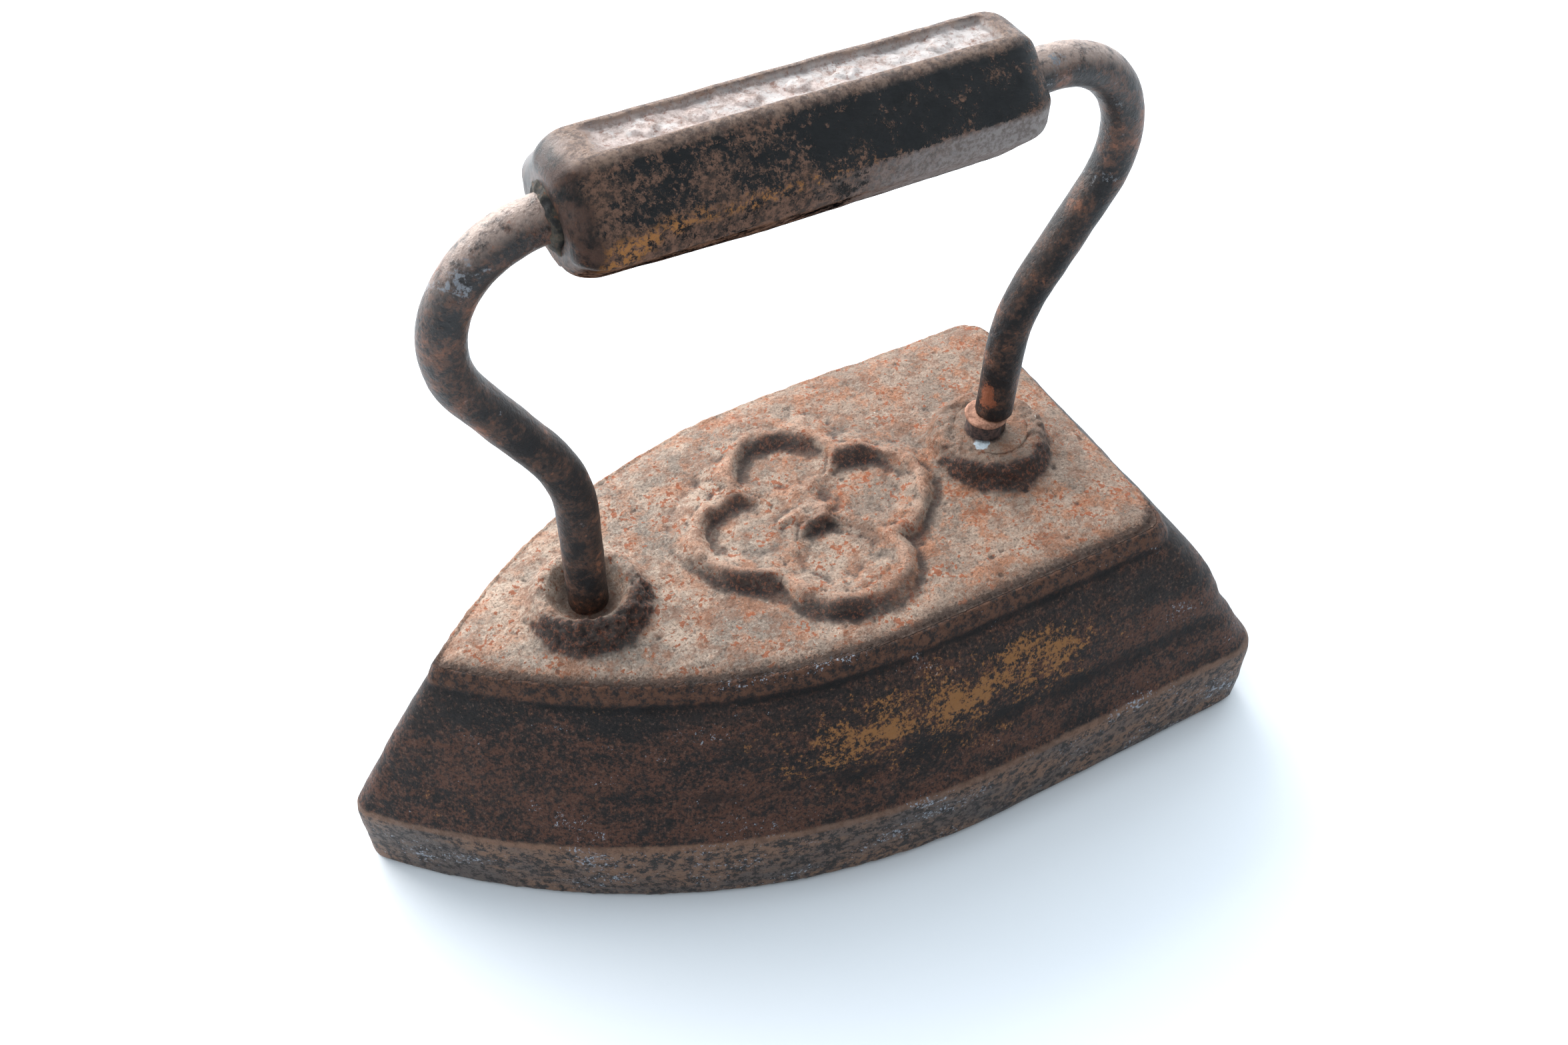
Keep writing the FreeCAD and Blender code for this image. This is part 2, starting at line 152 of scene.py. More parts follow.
# Lower edge of the grip's sloping facets.
FACET_EDGE = ROD_HEIGHT + GRIP_SIDE_HALF_FLAT
GRIP_END_DEPTH = 5.6
GRIP_END_INSET = 4.2
END_OPENING = 4.4
PANEL_LENGTH = 63.0
PANEL_WIDTH = 6.2
PANEL_DEPTH = 0.9
BEAD_COUNT = 7
BEAD_PITCH = 7.6
BEAD_RADIUS = 1.5
# The filler has fallen out of the grip's ends round this angle, in radians up from the near side.
GAP_ANGLE = 0.3

# Size of the quads that the casting's skin is made of, and the value of the attribute
# "inward" on pieces that lie well inside the edge of the casting's top.
BODY_VOXEL = 1.0
WELL_INSIDE = 20.0

# Camera, in degrees and millimetres.

CAMERA_AZIMUTH = 149.76
CAMERA_ELEVATION = 48.65
CAMERA_ROLL = 1.978
CAMERA_DISTANCE = 262.56
CAMERA_TARGET = (-2.05, -0.69, 47.74)
CAMERA_LENS = 32.91

# Daylight: strengths of the dim room and of the bright sky, and the window's lamp in metres.

ROOM_STRENGTH = 0.44
SKY_STRENGTH = 2.4
SKY_COLOUR = (0.82, 0.92, 1.0, 1)
WINDOW_PLACE = (0.05, -0.45, 0.32)
WINDOW_TARGET = (0, 0, 0.05)
WINDOW_SIZE = (0.7, 0.3)
WINDOW_WATTS = 5.0
WINDOW_COLOUR = (1.0, 0.97, 0.93)
FLOOR_HALF_SIZE = 3.0


# Mesh helpers


def make_object(name, points, faces, smooth=True):
    """A mesh object from points in millimetres."""
    mesh = bpy.data.meshes.new(name)
    mesh.from_pydata((np.asarray(points) * MM).tolist(), [], faces)
    turn_outward(mesh)
    if smooth:
        shade_smooth(mesh)
    piece = bpy.data.objects.new(name, mesh)
    bpy.context.scene.collection.objects.link(piece)
    return piece


def shade_smooth(mesh):
    mesh.polygons.foreach_set("use_smooth", [True] * len(mesh.polygons))


def turn_outward(mesh):
    shell = bmesh.new()
    shell.from_mesh(mesh)
    bmesh.ops.recalc_face_normals(shell, faces=shell.faces)
    shell.to_mesh(mesh)
    shell.free()


def ring_faces(ring_count, ring_size, closed=False):
    """Quads between rings of points that follow each other; closed joins last to first."""
    faces = []
    for i in range(ring_count if closed else ring_count - 1):
        here = i * ring_size
        there = (i + 1) % ring_count * ring_size
        for j in range(ring_size):
            k = (j + 1) % ring_size
            faces.append((here + j, here + k, there + k, there + j))
    return faces


def capped_faces(ring_count, ring_size):
    """Quads between rings, with a flat cap on the first ring and on the last."""
    last = (ring_count - 1) * ring_size
    caps = [tuple(range(ring_size))[::-1], tuple(range(last, last + ring_size))]
    return ring_faces(ring_count, ring_size) + caps


def lathe(profile, steps=96):
    """Turn a closed profile of (radius, height) pairs about the Z axis."""
    angles = np.arange(steps) * TAU / steps
    rings = [
        np.stack([r * np.cos(angles), r * np.sin(angles), np.full(steps, z)], axis=1)
        for r, z in profile
    ]
    return np.concatenate(rings), ring_faces(len(profile), steps, closed=True)


def apply_modifiers(piece):
    depsgraph = bpy.context.evaluated_depsgraph_get()
    mesh = bpy.data.meshes.new_from_object(piece.evaluated_get(depsgraph))
    piece.modifiers.clear()
    piece.data = mesh
    shade_smooth(mesh)


def remesh(piece, voxel):
    """Fuse the piece's shells into one even skin of small quads."""
    modifier = piece.modifiers.new("remesh", "REMESH")
    modifier.mode = "VOXEL"
    modifier.voxel_size = voxel * MM
    apply_modifiers(piece)


def refine(piece, is_chosen):
    """Halve the quads whose corners are all chosen by their place in millimetres."""
    mesh = bmesh.new()
    mesh.from_mesh(piece.data)
    chosen = {vertex.index for vertex in mesh.verts if is_chosen(*(vertex.co / MM))}
    edges = [edge for edge in mesh.edges if all(v.index in chosen for v in edge.verts)]
    bmesh.ops.subdivide_edges(mesh, edges=edges, cuts=1, use_grid_fill=True)
    mesh.to_mesh(piece.data)
    mesh.free()
    shade_smooth(piece.data)


def cut_away(piece, cutter):
    modifier = piece.modifiers.new("cut", "BOOLEAN")
    modifier.operation = "DIFFERENCE"
    modifier.object = cutter
    apply_modifiers(piece)
    bpy.data.objects.remove(cutter)


def join(pieces):
    """Put the meshes of several objects into the first one."""
    mesh = bmesh.new()
    for piece in pieces:
        mesh.from_mesh(piece.data)
    mesh.to_mesh(pieces[0].data)
    mesh.free()
    for piece in pieces[1:]:
        bpy.data.objects.remove(piece)
    return pieces[0]


def vertex_points(mesh):
    points = np.empty(len(mesh.vertices) * 3)
    mesh.vertices.foreach_get("co", points)
    return points.reshape(-1, 3) / MM


def vertex_normals(mesh):
    normals = np.empty(len(mesh.vertices) * 3)
    mesh.vertex_normals.foreach_get("vector", normals)
    return normals.reshape(-1, 3)


def set_points(mesh, points):
    mesh.vertices.foreach_set("co", (points * MM).ravel())
    mesh.update()


def edge_pairs(mesh):
    pairs = np.empty(len(mesh.edges) * 2, dtype=int)
    mesh.edges.foreach_get("vertices", pairs)
    return pairs.reshape(-1, 2)


def smoothed(values, pairs, times):
    """Average rows of values with their neighbours along the edges."""
    ends = np.concatenate([pairs, pairs[:, ::-1]])
    count = np.maximum(np.bincount(ends[:, 0], minlength=len(values)), 1)
    for _ in range(times):
        total = [
            np.bincount(ends[:, 0], column[ends[:, 1]], len(values)) for column in values.T
        ]
        values = 0.5 * values + 0.5 * (np.array(total) / count).T
    return values


def store(mesh, name, values):
    """Keep a value for each vertex, or one for all, where the materials can read it."""
    attribute = mesh.attributes.new(name, "FLOAT", "POINT")
    values = np.broadcast_to(values, len(mesh.vertices)).astype(np.float32)
    attribute.data.foreach_set("value", values)


def store_cavity(mesh, name, reach):
    """Keep how far each point stands out of (+) or lies in (-) its surroundings, in mm."""
    points = vertex_points(mesh)
    offset = points - smoothed(points, edge_pairs(mesh), reach)
    store(mesh, name, np.einsum("ij,ij->i", offset, vertex_normals(mesh)))


def smoothstep(values, low, high):
    t = np.clip((values - low) / (high - low), 0, 1)
    return t * t * (3 - 2 * t)


def cloud(points, size, octaves=3, seed=0.0):
    """Smooth noise from about -1 to 1, with lumps of about the given size."""
    places = (points / size + seed).tolist()
    return np.array([noise.fractal(place, 1.0, 2.0, octaves) for place in places])


def pocks(points, size, seed=0.0):
    """Distance to the nearest of scattered spots, from 0 at a spot to about 1."""
    places = (points / size + seed).tolist()
    return np.array([noise.voronoi(place)[0][0] for place in places])


def distance_to(line, points):
    """Distance of each point to the nearest point of a dense line, seen from above."""
    tree = kdtree.KDTree(len(line))
    for i, (x, y) in enumerate(line):
        tree.insert((x, y, 0), i)
    tree.balance()
    return np.array([tree.find((x, y, 0))[2] for x, y, _ in points])


# Body casting


def outline(spread):
    """The iron's plan: rounded nose, two long arcs, straight sides, square back."""

    def between(top, sole):
        return top + spread * (sole - top)

    nose = between(TOP_NOSE, BODY_HIGH[0])
    back = between(TOP_BACK, BODY_LOW[0])
    wide = between(TOP_HALF_WIDTH, BODY_HIGH[1])
    start = between(*ARC_START)
    nose_r = between(*NOSE_RADIUS)
    corner_r = between(*CORNER_RADIUS)
    run = nose - nose_r - start
    side_r = (run**2 + wide**2 - nose_r**2) / (2 * (wide - nose_r))
    turn = math.atan2(side_r - wide, run)

    def arc(x, y, radius, first, last, count):
        angles = np.linspace(first, last, count, endpoint=False)
        return np.stack([x + radius * np.cos(angles), y + radius * np.sin(angles)], axis=1)

    def line(x0, x1, y0, y1, count):
        t = np.linspace(0, 1, count, endpoint=False)
        return np.stack([x0 + t * (x1 - x0), y0 + t * (y1 - y0)], axis=1)

    quarter = math.pi / 2
    half = [
        arc(nose - nose_r, 0, nose_r, 0, turn, 6),
        arc(start, wide - side_r, side_r, turn, quarter, 90),
        line(start, back + corner_r, wide, wide, 40),
        arc(back + corner_r, wide - corner_r, corner_r, quarter, 2 * quarter, 10),
        line(back, back, wide - corner_r, 0, 30),
    ]
    upper = np.concatenate(half)
    lower = np.array([(back, 0.0), *(upper[:0:-1] * (1, -1))])
    return np.concatenate([upper, lower])


def ring_at(z):
    """The casting's outline at a height; the cove in its flanks runs out towards the nose."""
    side = outline(np.interp(z, *np.array(SIDE_PROFILE).T))
    nose = outline(np.interp(z, *np.array(NOSE_PROFILE).T))
    share = smoothstep(outline(1.0)[:, :1], *COVE_ENDS)
    plan = (1 - share) * side + share * nose
    return np.column_stack([plan, np.full(len(plan), z)])


def wedge():
    """The plain casting: outlines stacked up the profile."""
    corners = [z for z, _ in SIDE_PROFILE + NOSE_PROFILE]
    levels = np.unique(np.concatenate([corners, np.arange(2, BODY_TOP, 1.0)]))
    rings = [ring_at(z) for z in levels]
    faces = capped_faces(len(rings), len(rings[0]))
    return make_object("body_iron", np.concatenate(rings), faces)


def boss(foot, sizes, floor):
    """A low boss as a ring round the socket, dished down to the level of its lead."""
    foot_radius, rim_radius, dish_radius = sizes
    points, faces = lathe(
        [
            (SOCKET_RADIUS, BODY_TOP - 6),
            (foot_radius + 1.0, BODY_TOP - 6),
            (foot_radius + 1.0, BODY_TOP - 0.5),
            (foot_radius + 0.2, BODY_TOP + 0.5),
            (rim_radius + 0.9, BODY_TOP + 1.8),
            (rim_radius + 0.6, BOSS_TOP - 1.2),
            (rim_radius, BOSS_TOP - 0.4),
            (rim_radius - 0.7, BOSS_TOP),
            (dish_radius + 0.6, BOSS_TOP - 0.1),
            (dish_radius, BOSS_TOP - 0.5),
            (SOCKET_RADIUS, floor),
        ]
    )
    return make_object("boss", points + (foot, 0, 0), faces)


def socket_cutter(foot):
    inner, floor, top = 0.01, SOCKET_FLOOR, BODY_TOP + 10
    corners = [(inner, floor), (SOCKET_RADIUS, floor), (SOCKET_RADIUS, top), (inner, top)]
    points, faces = lathe(corners, 48)
    return make_object("socket_cutter", points + (foot, 0, 0), faces)


def from_quatrefoil(x, y):
    """Distance out from the quatrefoil's line; negative inside its lobes."""
    lobes = [
        np.hypot(x - RELIEF_CENTRE - LOBE_DISTANCE * along, y - LOBE_DISTANCE * across)
        for along, across in ((1, 0), (0, 1), (-1, 0), (0, -1))
    ]
    return np.min(lobes, axis=0) - LOBE_RADIUS


def relief(x, y):
    """Height, from about 0 to 1, of the worn quatrefoil ridge and the lozenge inside it.

    The ridge rises gently on the far side and drops into a shallow hollow on the near side.
    """
    crest = 1 - smoothstep(np.abs(from_quatrefoil(x, y)), 0.3, 1.6 * RIDGE_HALF_WIDTH)
    drift = 1 - smoothstep(np.abs(from_quatrefoil(x, y + 2.2)), 0.0, 2.2 * RIDGE_HALF_WIDTH)
    hollow = 1 - smoothstep(np.abs(from_quatrefoil(x, y - 3.8)), 0.0, 1.8 * RIDGE_HALF_WIDTH)
    inside = 1 - np.abs(x - RELIEF_CENTRE) / (LOZENGE_LENGTH / 2) - np.abs(y) / (LOZENGE_WIDTH / 2)
    lozenge = smoothstep(inside, -0.3, 0.5)
    ridge = np.maximum(crest, 0.7 * drift)
    return np.maximum(ridge, lozenge) - 0.3 * hollow * (1 - crest) * (1 - lozenge)


def near_boss(x, y, z, foot, sizes):
    """How much points belong to a boss, to its crest, and to the painted shade on the crest's near
    side and beside its foot.
    """
    foot_radius, _, dish_radius = sizes
    from_foot = np.hypot(x - foot, y)
    on_boss = 1 - smoothstep(from_foot, foot_radius - 0.5, foot_radius + 1.0)
    on_boss *= smoothstep(z, BODY_TOP - 0.6, BODY_TOP + 0.6)
    on_crest = on_boss * smoothstep(from_foot, dish_radius - 0.4, dish_radius + 0.8)
    near_side = smoothstep((y - 0.25 * (x - foot)) / np.maximum(from_foot, 1.0), -0.25, 0.75)
    # Painted shadow of the boss on the top, just outside its foot on the near side.
    foot_shadow = smoothstep(-from_foot, -foot_radius - 4.5, -foot_radius) * (1 - on_boss)
    return on_boss, on_crest, near_side * (on_crest + 0.6 * foot_shadow)


def age_body(piece):
    """Raise the ornament, then roughen, pit and wear the whole skin."""
    mesh = piece.data
    pairs = edge_pairs(mesh)
    points = smoothed(vertex_points(mesh), pairs, 2)
    set_points(mesh, points)
    normals = vertex_normals(mesh)
    x, y, z = points.T
    on_top = smoothstep(normals[:, 2], 0.6, 0.9) * smoothstep(z, BODY_TOP - 1.5, BODY_TOP - 0.3)
    front = near_boss(x, y, z, FRONT_FOOT, FRONT_BOSS)
    rear = near_boss(x, y, z, REAR_FOOT, REAR_BOSS)
    on_boss = front[0] + rear[0]
    # Where shade is painted on the near sides of the boss crests and beside their feet, with some
    # dirt; the crags there are also made rougher.
    boss_near_shade = front[2] + 0.35 * rear[2]
    from_edge = distance_to(outline(0.01), points)
    on_rim = smoothstep(z, CREASE_HEIGHT, CREASE_HEIGHT + 1.5) * (1 - on_top) * (1 - on_boss)

    lumps = cloud(points, 7.0, 3)
    clods = cloud(points, 2.6, 3, seed=23.0)
    grit = cloud(points, 1.3, 3, seed=5.0)
    bends = np.column_stack([cloud(points, 9.0, 2, 11.0), cloud(points, 9.0, 2, 17.0)])
    bends += 0.12 * np.column_stack([clods, grit])
    height = relief(x + 1.5 * bends[:, 0], y + 1.5 * bends[:, 1])
    height *= RELIEF_HEIGHT * np.clip(0.85 + 0.5 * lumps, 0.4, 1.15)
    lift = on_top * (1 - on_boss) * (height - 0.6 * (1 - smoothstep(from_edge, 0.0, 4.5)))

    pits = (1 - smoothstep(pocks(points, 3.1, 3.0), 0.1, 0.4)) * smoothstep(clods, 0.0, 0.5)
    crest = np.maximum(boss_near_shade * on_boss, 0.25 * front[1] + 0.35 * rear[1])
    rough = 0.16 * lumps + (0.07 + 0.06 * on_top + 0.70 * crest + 0.14 * on_rim) * clods
    rough += (0.04 + 0.07 * on_top + 0.45 * crest + 0.05 * on_rim) * grit
    rough -= (0.06 + 0.22 * on_top) * pits * (1 - on_boss)
    crease = np.exp(-(((z - CREASE_HEIGHT + 0.3 * bends[:, 0]) / 0.7) ** 2))
    rough -= 0.45 * crease * (1 - on_boss) * (0.6 + 0.6 * np.clip(lumps, -0.5, 0.6))
    off_sole = smoothstep(z, 0.3, 1.2)
    set_points(mesh, points + normals * (rough * off_sole)[:, None] + np.outer(lift, (0, 0, 1)))
    store_cavity(mesh, "grain", 3)
    store_cavity(mesh, "hollow", 40)
    # Painted shade: the near sides of the ridges and crests, the faces turned to the camera's side,
    # spread soft.
    lee = smoothstep(vertex_normals(mesh) @ (0.3, 0.95, 0), 0.12, 0.7)
    lee *= smoothstep(z, BODY_TOP - 0.4, BODY_TOP) * (1 - (on_boss - front[1] - rear[1]))
    store(mesh, "near_side_shade", smoothed(lee[:, None], pairs, 24)[:, 0])
    inward = np.where(on_top > 0.5, from_edge, -from_edge)
    store(mesh, "inward", np.where(on_boss > 0.1, WELL_INSIDE, inward))
    store(mesh, "boss_near_shade", boss_near_shade)
    store(mesh, "boss", on_boss)


def at_boss(x, y, z):
    from_foot = min(math.hypot(x - FRONT_FOOT, y), math.hypot(x - REAR_FOOT, y))
    return z > BODY_TOP - 1 and from_foot < REAR_BOSS[0] + 2


def build_body():
    shell = wedge()
    for foot in (FRONT_FOOT, REAR_FOOT):
        cut_away(shell, socket_cutter(foot))
    front = boss(FRONT_FOOT, FRONT_BOSS, FRONT_LEAD_HIGH[2])
    rear = boss(REAR_FOOT, REAR_BOSS, REAR_LEAD_HIGH[2])
    piece = join([shell, front, rear])
    remesh(piece, BODY_VOXEL)
    refine(piece, lambda x, y, z: z > CREASE_HEIGHT - 2)
    refine(piece, at_boss)
    age_body(piece)
    return piece


# Handle rod


def rod_line():
    """Points, tangents and radii along the rod, from the front socket to the rear one."""
    rise = ROD_HEIGHT - KNEE_HEIGHT - UPPER_BEND
    bends = LOWER_BEND + UPPER_BEND
    lean = math.asin(rise / math.hypot(bends, ROD_SLANT)) - math.atan2(ROD_SLANT, bends)
    x, z, heading = FRONT_FOOT, SOCKET_FLOOR, math.pi / 2
    points = [(x, z, heading)]

    def straight(length):
        nonlocal x, z
        count = max(2, round(length))
        for _ in range(count):
            x += length / count * math.cos(heading)
            z += length / count * math.sin(heading)
            points.append((x, z, heading))

    def bend(radius, angle):
        nonlocal x, z, heading
        count = max(6, round(radius * abs(angle)))
        step = angle / count
        chord = 2 * radius * math.sin(abs(step) / 2)
        for _ in range(count):
            x += chord * math.cos(heading + step / 2)
            z += chord * math.sin(heading + step / 2)
            heading += step
            points.append((x, z, heading))

    straight(KNEE_HEIGHT - SOCKET_FLOOR)
    bend(LOWER_BEND, -lean)
    straight(ROD_SLANT)
    bend(UPPER_BEND, math.pi / 2 + lean)
    reach = LOWER_BEND * (1 - math.cos(lean)) + ROD_SLANT * math.sin(lean)
    overhang = reach - UPPER_BEND * math.cos(lean)
    straight(FRONT_FOOT - REAR_FOOT + 2 * overhang)
    bend(UPPER_BEND, math.pi / 2 + lean)
    straight(ROD_SLANT)
    bend(LOWER_BEND, -lean)
    straight(KNEE_HEIGHT - SOCKET_FLOOR)
    return np.array(points)


def build_rod():
    """A round bar swept along its line, a little uneven, with a tenon under its rear shoulder."""
    line = rod_line()
    shoulder = COLLAR_HIGH[2]
    on_tenon = (line[:, 0] < 0) & (line[:, 1] < shoulder) & (line[:, 2] > math.pi)
    radii = np.where(on_tenon, TENON_RADIUS, ROD_RADIUS)
    steps = 56
    angles = np.arange(steps) * TAU / steps
    rings = []
    for (x, z, heading), radius in zip(line, radii):
        out = np.array([math.sin(heading), 0, -math.cos(heading)])
        across = np.outer(np.cos(angles), out) + np.outer(np.sin(angles), (0, 1, 0))
        rings.append(np.array([x, 0, z]) + radius * across)
    piece = make_object("rod_bar", np.concatenate(rings), capped_faces(len(rings), steps))
    mesh = piece.data
    points = vertex_points(mesh)
    rough = 0.10 * cloud(points, 8.0, 2, 31.0) + 0.05 * cloud(points, 2.2, 2, 37.0)
    set_points(mesh, points + vertex_normals(mesh) * (rough - 0.08)[:, None])
    store(mesh, "up", smoothstep(vertex_normals(mesh)[:, 2], 0.2, 0.95))
    return piece


# Grip


def rounded_polygon(corners, radius, count):
    """Points evenly spaced round a convex polygon whose corners are rounded off."""
    corners = np.array(corners)
    sides = np.roll(corners, -1, axis=0) - corners
    normals = np.column_stack([sides[:, 1], -sides[:, 0]])
    normals /= np.linalg.norm(sides, axis=1)[:, None]
    path = []
    for corner, before, after in zip(corners, np.roll(normals, 1, axis=0), normals):
        centre = corner - radius * (before + after) / (1 + before @ after)
        for t in np.linspace(0, 1, 9):
            direction = (1 - t) * before + t * after
            path.append(centre + radius * direction / np.linalg.norm(direction))
    path = np.array(path + path[:1])
    run = np.concatenate([[0], np.cumsum(np.linalg.norm(np.diff(path, axis=0), axis=1))])
    places = np.linspace(0, run[-1], count, endpoint=False)
    return np.column_stack([np.interp(places, run, path[:, i]) for i in (0, 1)])


def grip_outline(count):
    """The grip's octagonal section in the YZ plane, anticlockwise."""
    wide, side = GRIP_HALF_WIDTH, GRIP_SIDE_HALF_FLAT
    tall, flat = GRIP_HALF_HEIGHT, GRIP_TOP_HALF_FLAT
    upper = [(wide, side), (flat, tall), (-flat, tall), (-wide, side)]
    return rounded_polygon(upper + [(-y, -z) for y, z in upper], GRIP_CORNER, count)


def grip_shell():
    """A bored bar with rounded ends, as rings that run along it and back through the bore."""
    section = grip_outline(216)
    size = np.abs(section).max(axis=0)
    angles = np.arctan2(section[:, 1], section[:, 0])
    circle = np.column_stack([np.cos(angles), np.sin(angles)])
    bore = BORE_RADIUS * circle
    slot = np.exp(-(((angles - GAP_ANGLE) / 0.6) ** 2))
    opening = (END_OPENING + 1.7 * slot)[:, None] * circle
    half = GRIP_LENGTH / 2
    straight = half - GRIP_END_DEPTH
    skin = [(x, section) for x in np.linspace(0, straight, round(straight / 0.34))]
    for turn in np.linspace(0, math.pi / 2, 13)[1:]:
        inset = GRIP_END_INSET * (1 - math.cos(turn))
        skin.append((straight + GRIP_END_DEPTH * math.sin(turn), section * (1 - inset / size)))
    rim = skin[-1][1]
    end = [(half, rim + share * (opening - rim)) for share in (0.25, 0.5, 0.75)]
    end += [(half - 0.2, opening), (half - 0.7, opening)]
    hole = [(x, bore) for x in np.arange(half - 0.8, 0, -2.0)]
    front = skin + end + hole
    rings = front + [(-x, plan) for x, plan in front[::-1]][:-1]
    points = [np.column_stack([np.full(len(plan), x), plan]) for x, plan in rings]
    faces = ring_faces(len(rings), len(section), closed=True)
    return make_object("grip_shell", np.concatenate(points), faces)


def age_grip(piece):
    """Sink the panel with its worn row of ornaments, slim the front end and dent the skin."""
    mesh = piece.data
    points = vertex_points(mesh)
    normals = vertex_normals(mesh)
    x, y, z = points.T
    outside = smoothstep(np.hypot(y, z), BORE_RADIUS + 0.1, BORE_RADIUS + 0.8)
    bends = cloud(points, 6.0, 2, 41.0)
    inside_x = PANEL_LENGTH / 2 - np.abs(x) + 0.4 * bends
    inside_y = PANEL_WIDTH / 2 - np.abs(y) + 0.25 * bends
    in_panel = smoothstep(inside_x, -0.4, np.where(x > 0, 3.0, 0.6))
    in_panel *= smoothstep(inside_y, -0.3, 0.6)
    in_panel *= smoothstep(z, GRIP_HALF_HEIGHT - 0.6, GRIP_HALF_HEIGHT - 0.1)
    crust = cloud(points, 1.6, 3, 47.0)
    lumps = cloud(points, 4.0, 2, 59.0)
    beads = panel_beads(x, y) * np.clip(0.75 + 0.5 * lumps, 0.2, 1.1)
    drop = in_panel * (PANEL_DEPTH - 0.5 * beads - 0.14 * crust - 0.22 * lumps)
    rough = outside * (0.09 * bends + 0.05 * lumps + 0.03 * cloud(points, 1.3, 3, 53.0))
    slim = 0.11 * smoothstep(x, 6.0, GRIP_LENGTH / 2) * smoothstep(-z, 0.0, 3.0) * outside
    moved = points + normals * rough[:, None]
    moved[:, 2] -= drop + slim * z
    set_points(mesh, moved)
    store_cavity(mesh, "grain", 4)
    store_cavity(mesh, "hollow", 60)
    store(mesh, "panel", in_panel)
    store(mesh, "under", smoothstep(-normals[:, 2], 0.3, 0.55) * outside)


def panel_beads(x, y):
    """Raised row on the panel: lozenges and round beads by turns."""
    height = np.zeros_like(x)
    for i in range(BEAD_COUNT):
        along = np.abs(x - (i - (BEAD_COUNT - 1) / 2) * BEAD_PITCH)
        if i % 2 == 0:
            inside = 1 - along / (1.5 * BEAD_RADIUS) - np.abs(y) / (1.25 * BEAD_RADIUS)
        else:
            inside = 1 - np.hypot(along, y) / BEAD_RADIUS
        height = np.maximum(height, smoothstep(inside, -0.15, 0.3))
    return height


def build_grip():
    piece = grip_shell()
    age_grip(piece)
    move_points(piece, (GRIP_CENTRE, 0, ROD_HEIGHT))
    return piece


# Small fillings


def crusty_ring(name, profile, roughness, seed):
    """A turned ring with a lumpy skin."""
    points, faces = lathe(profile)
    piece = make_object(name, points, faces)
    mesh = piece.data
    points = vertex_points(mesh)
    rough = roughness * cloud(points, 1.6, 3, seed)
    set_points(mesh, points + vertex_normals(mesh) * rough[:, None])
    return piece


def along_profile(corners, step):
    """Points about a step apart along a closed line of corners."""
    points = []
    for (r0, z0), (r1, z1) in zip(corners, corners[1:] + corners[:1]):
        count = max(1, round(math.hypot(r1 - r0, z1 - z0) / step))
        for t in np.linspace(0, 1, count, endpoint=False):
            points.append((r0 + t * (r1 - r0), z0 + t * (z1 - z0)))
    return points


def build_lead(side, low, high, inner, fill):
    """Lead that fills the socket, heaped up by fill at the rod and lapping over the dish."""
    depth = high[2] - low[2]
    lap = SOCKET_RADIUS + 0.8 + fill
    corners = [
        (inner - 0.2, 0),
        (SOCKET_RADIUS - 0.3, 0),
        (SOCKET_RADIUS - 0.3, depth - 1.5),
        (lap, depth - 0.4),
        (lap, depth + 0.8 - 0.3 * fill),
        (SOCKET_RADIUS - 0.2, depth + 0.4 + 0.4 * fill),
        (inner + 0.5, depth - 0.3 + 1.3 * fill),
        (inner - 0.2, depth + 1.3 * fill),
    ]
    piece = crusty_ring(f"{side}_lead_fill", along_profile(corners, 0.4), 0.16, 61.0 + low[0])
    store(piece.data, "inward", WELL_INSIDE)
    store(piece.data, "boss", 1.0)
    move_points(piece, ((low[0] + high[0]) / 2, 0, low[2]))
    return piece


def move_points(piece, shift):
    set_points(piece.data, vertex_points(piece.data) + shift)


def turn_to_x(piece, direction):
    """Lay a piece that was turned about Z along the X axis."""
    x, y, z = vertex_points(piece.data).T
    set_points(piece.data, np.column_stack([direction * z, y, -direction * x]))


def build_plug(side, low, high, direction):
    """Filler round the rod in the grip's end, broken away along the bore on the near side."""
    length = high[0] - low[0]
    corners = [
        (ROD_RADIUS - 0.3, 0),
        (BORE_RADIUS - 0.1, 0),
        (BORE_RADIUS - 0.1, length - 0.2),
        (BORE_RADIUS - 1.2, length + 0.2),
        (ROD_RADIUS + 1.6, length + 0.7),
        (ROD_RADIUS + 0.5, length + 1.3),
        (ROD_RADIUS - 0.3, length + 1.7),
    ]
    piece = crusty_ring(f"{side}_plug_fill", along_profile(corners, 0.25), 0.35, 71.0 + direction)
    turn_to_x(piece, direction)
    points = vertex_points(piece.data)
    x, y, z = points.T
    gap = 1 - smoothstep(np.abs(np.arctan2(z, y) - GAP_ANGLE), 0.55, 0.95)
    gap *= smoothstep(np.hypot(y, z), 4.2, 4.8) * smoothstep(direction * x, 1.0, 2.0)
    points[:, 0] -= direction * 3.6 * gap
    set_points(piece.data, points)
    inner_end = low[0] if direction > 0 else high[0]
    move_points(piece, (inner_end, 0, ROD_HEIGHT))
    return piece


def build_core():
    length = CORE_HIGH[0] - CORE_LOW[0]
    inner, outer = ROD_RADIUS + 0.05, BORE_RADIUS - 0.1
    corners = [(inner, 0), (outer, 0), (outer, length), (inner, length)]
    piece = crusty_ring("sand_core", along_profile(corners, 1.0), 0.04, 83.0)
    turn_to_x(piece, 1)
    move_points(piece, (CORE_LOW[0], 0, ROD_HEIGHT))
    return piece


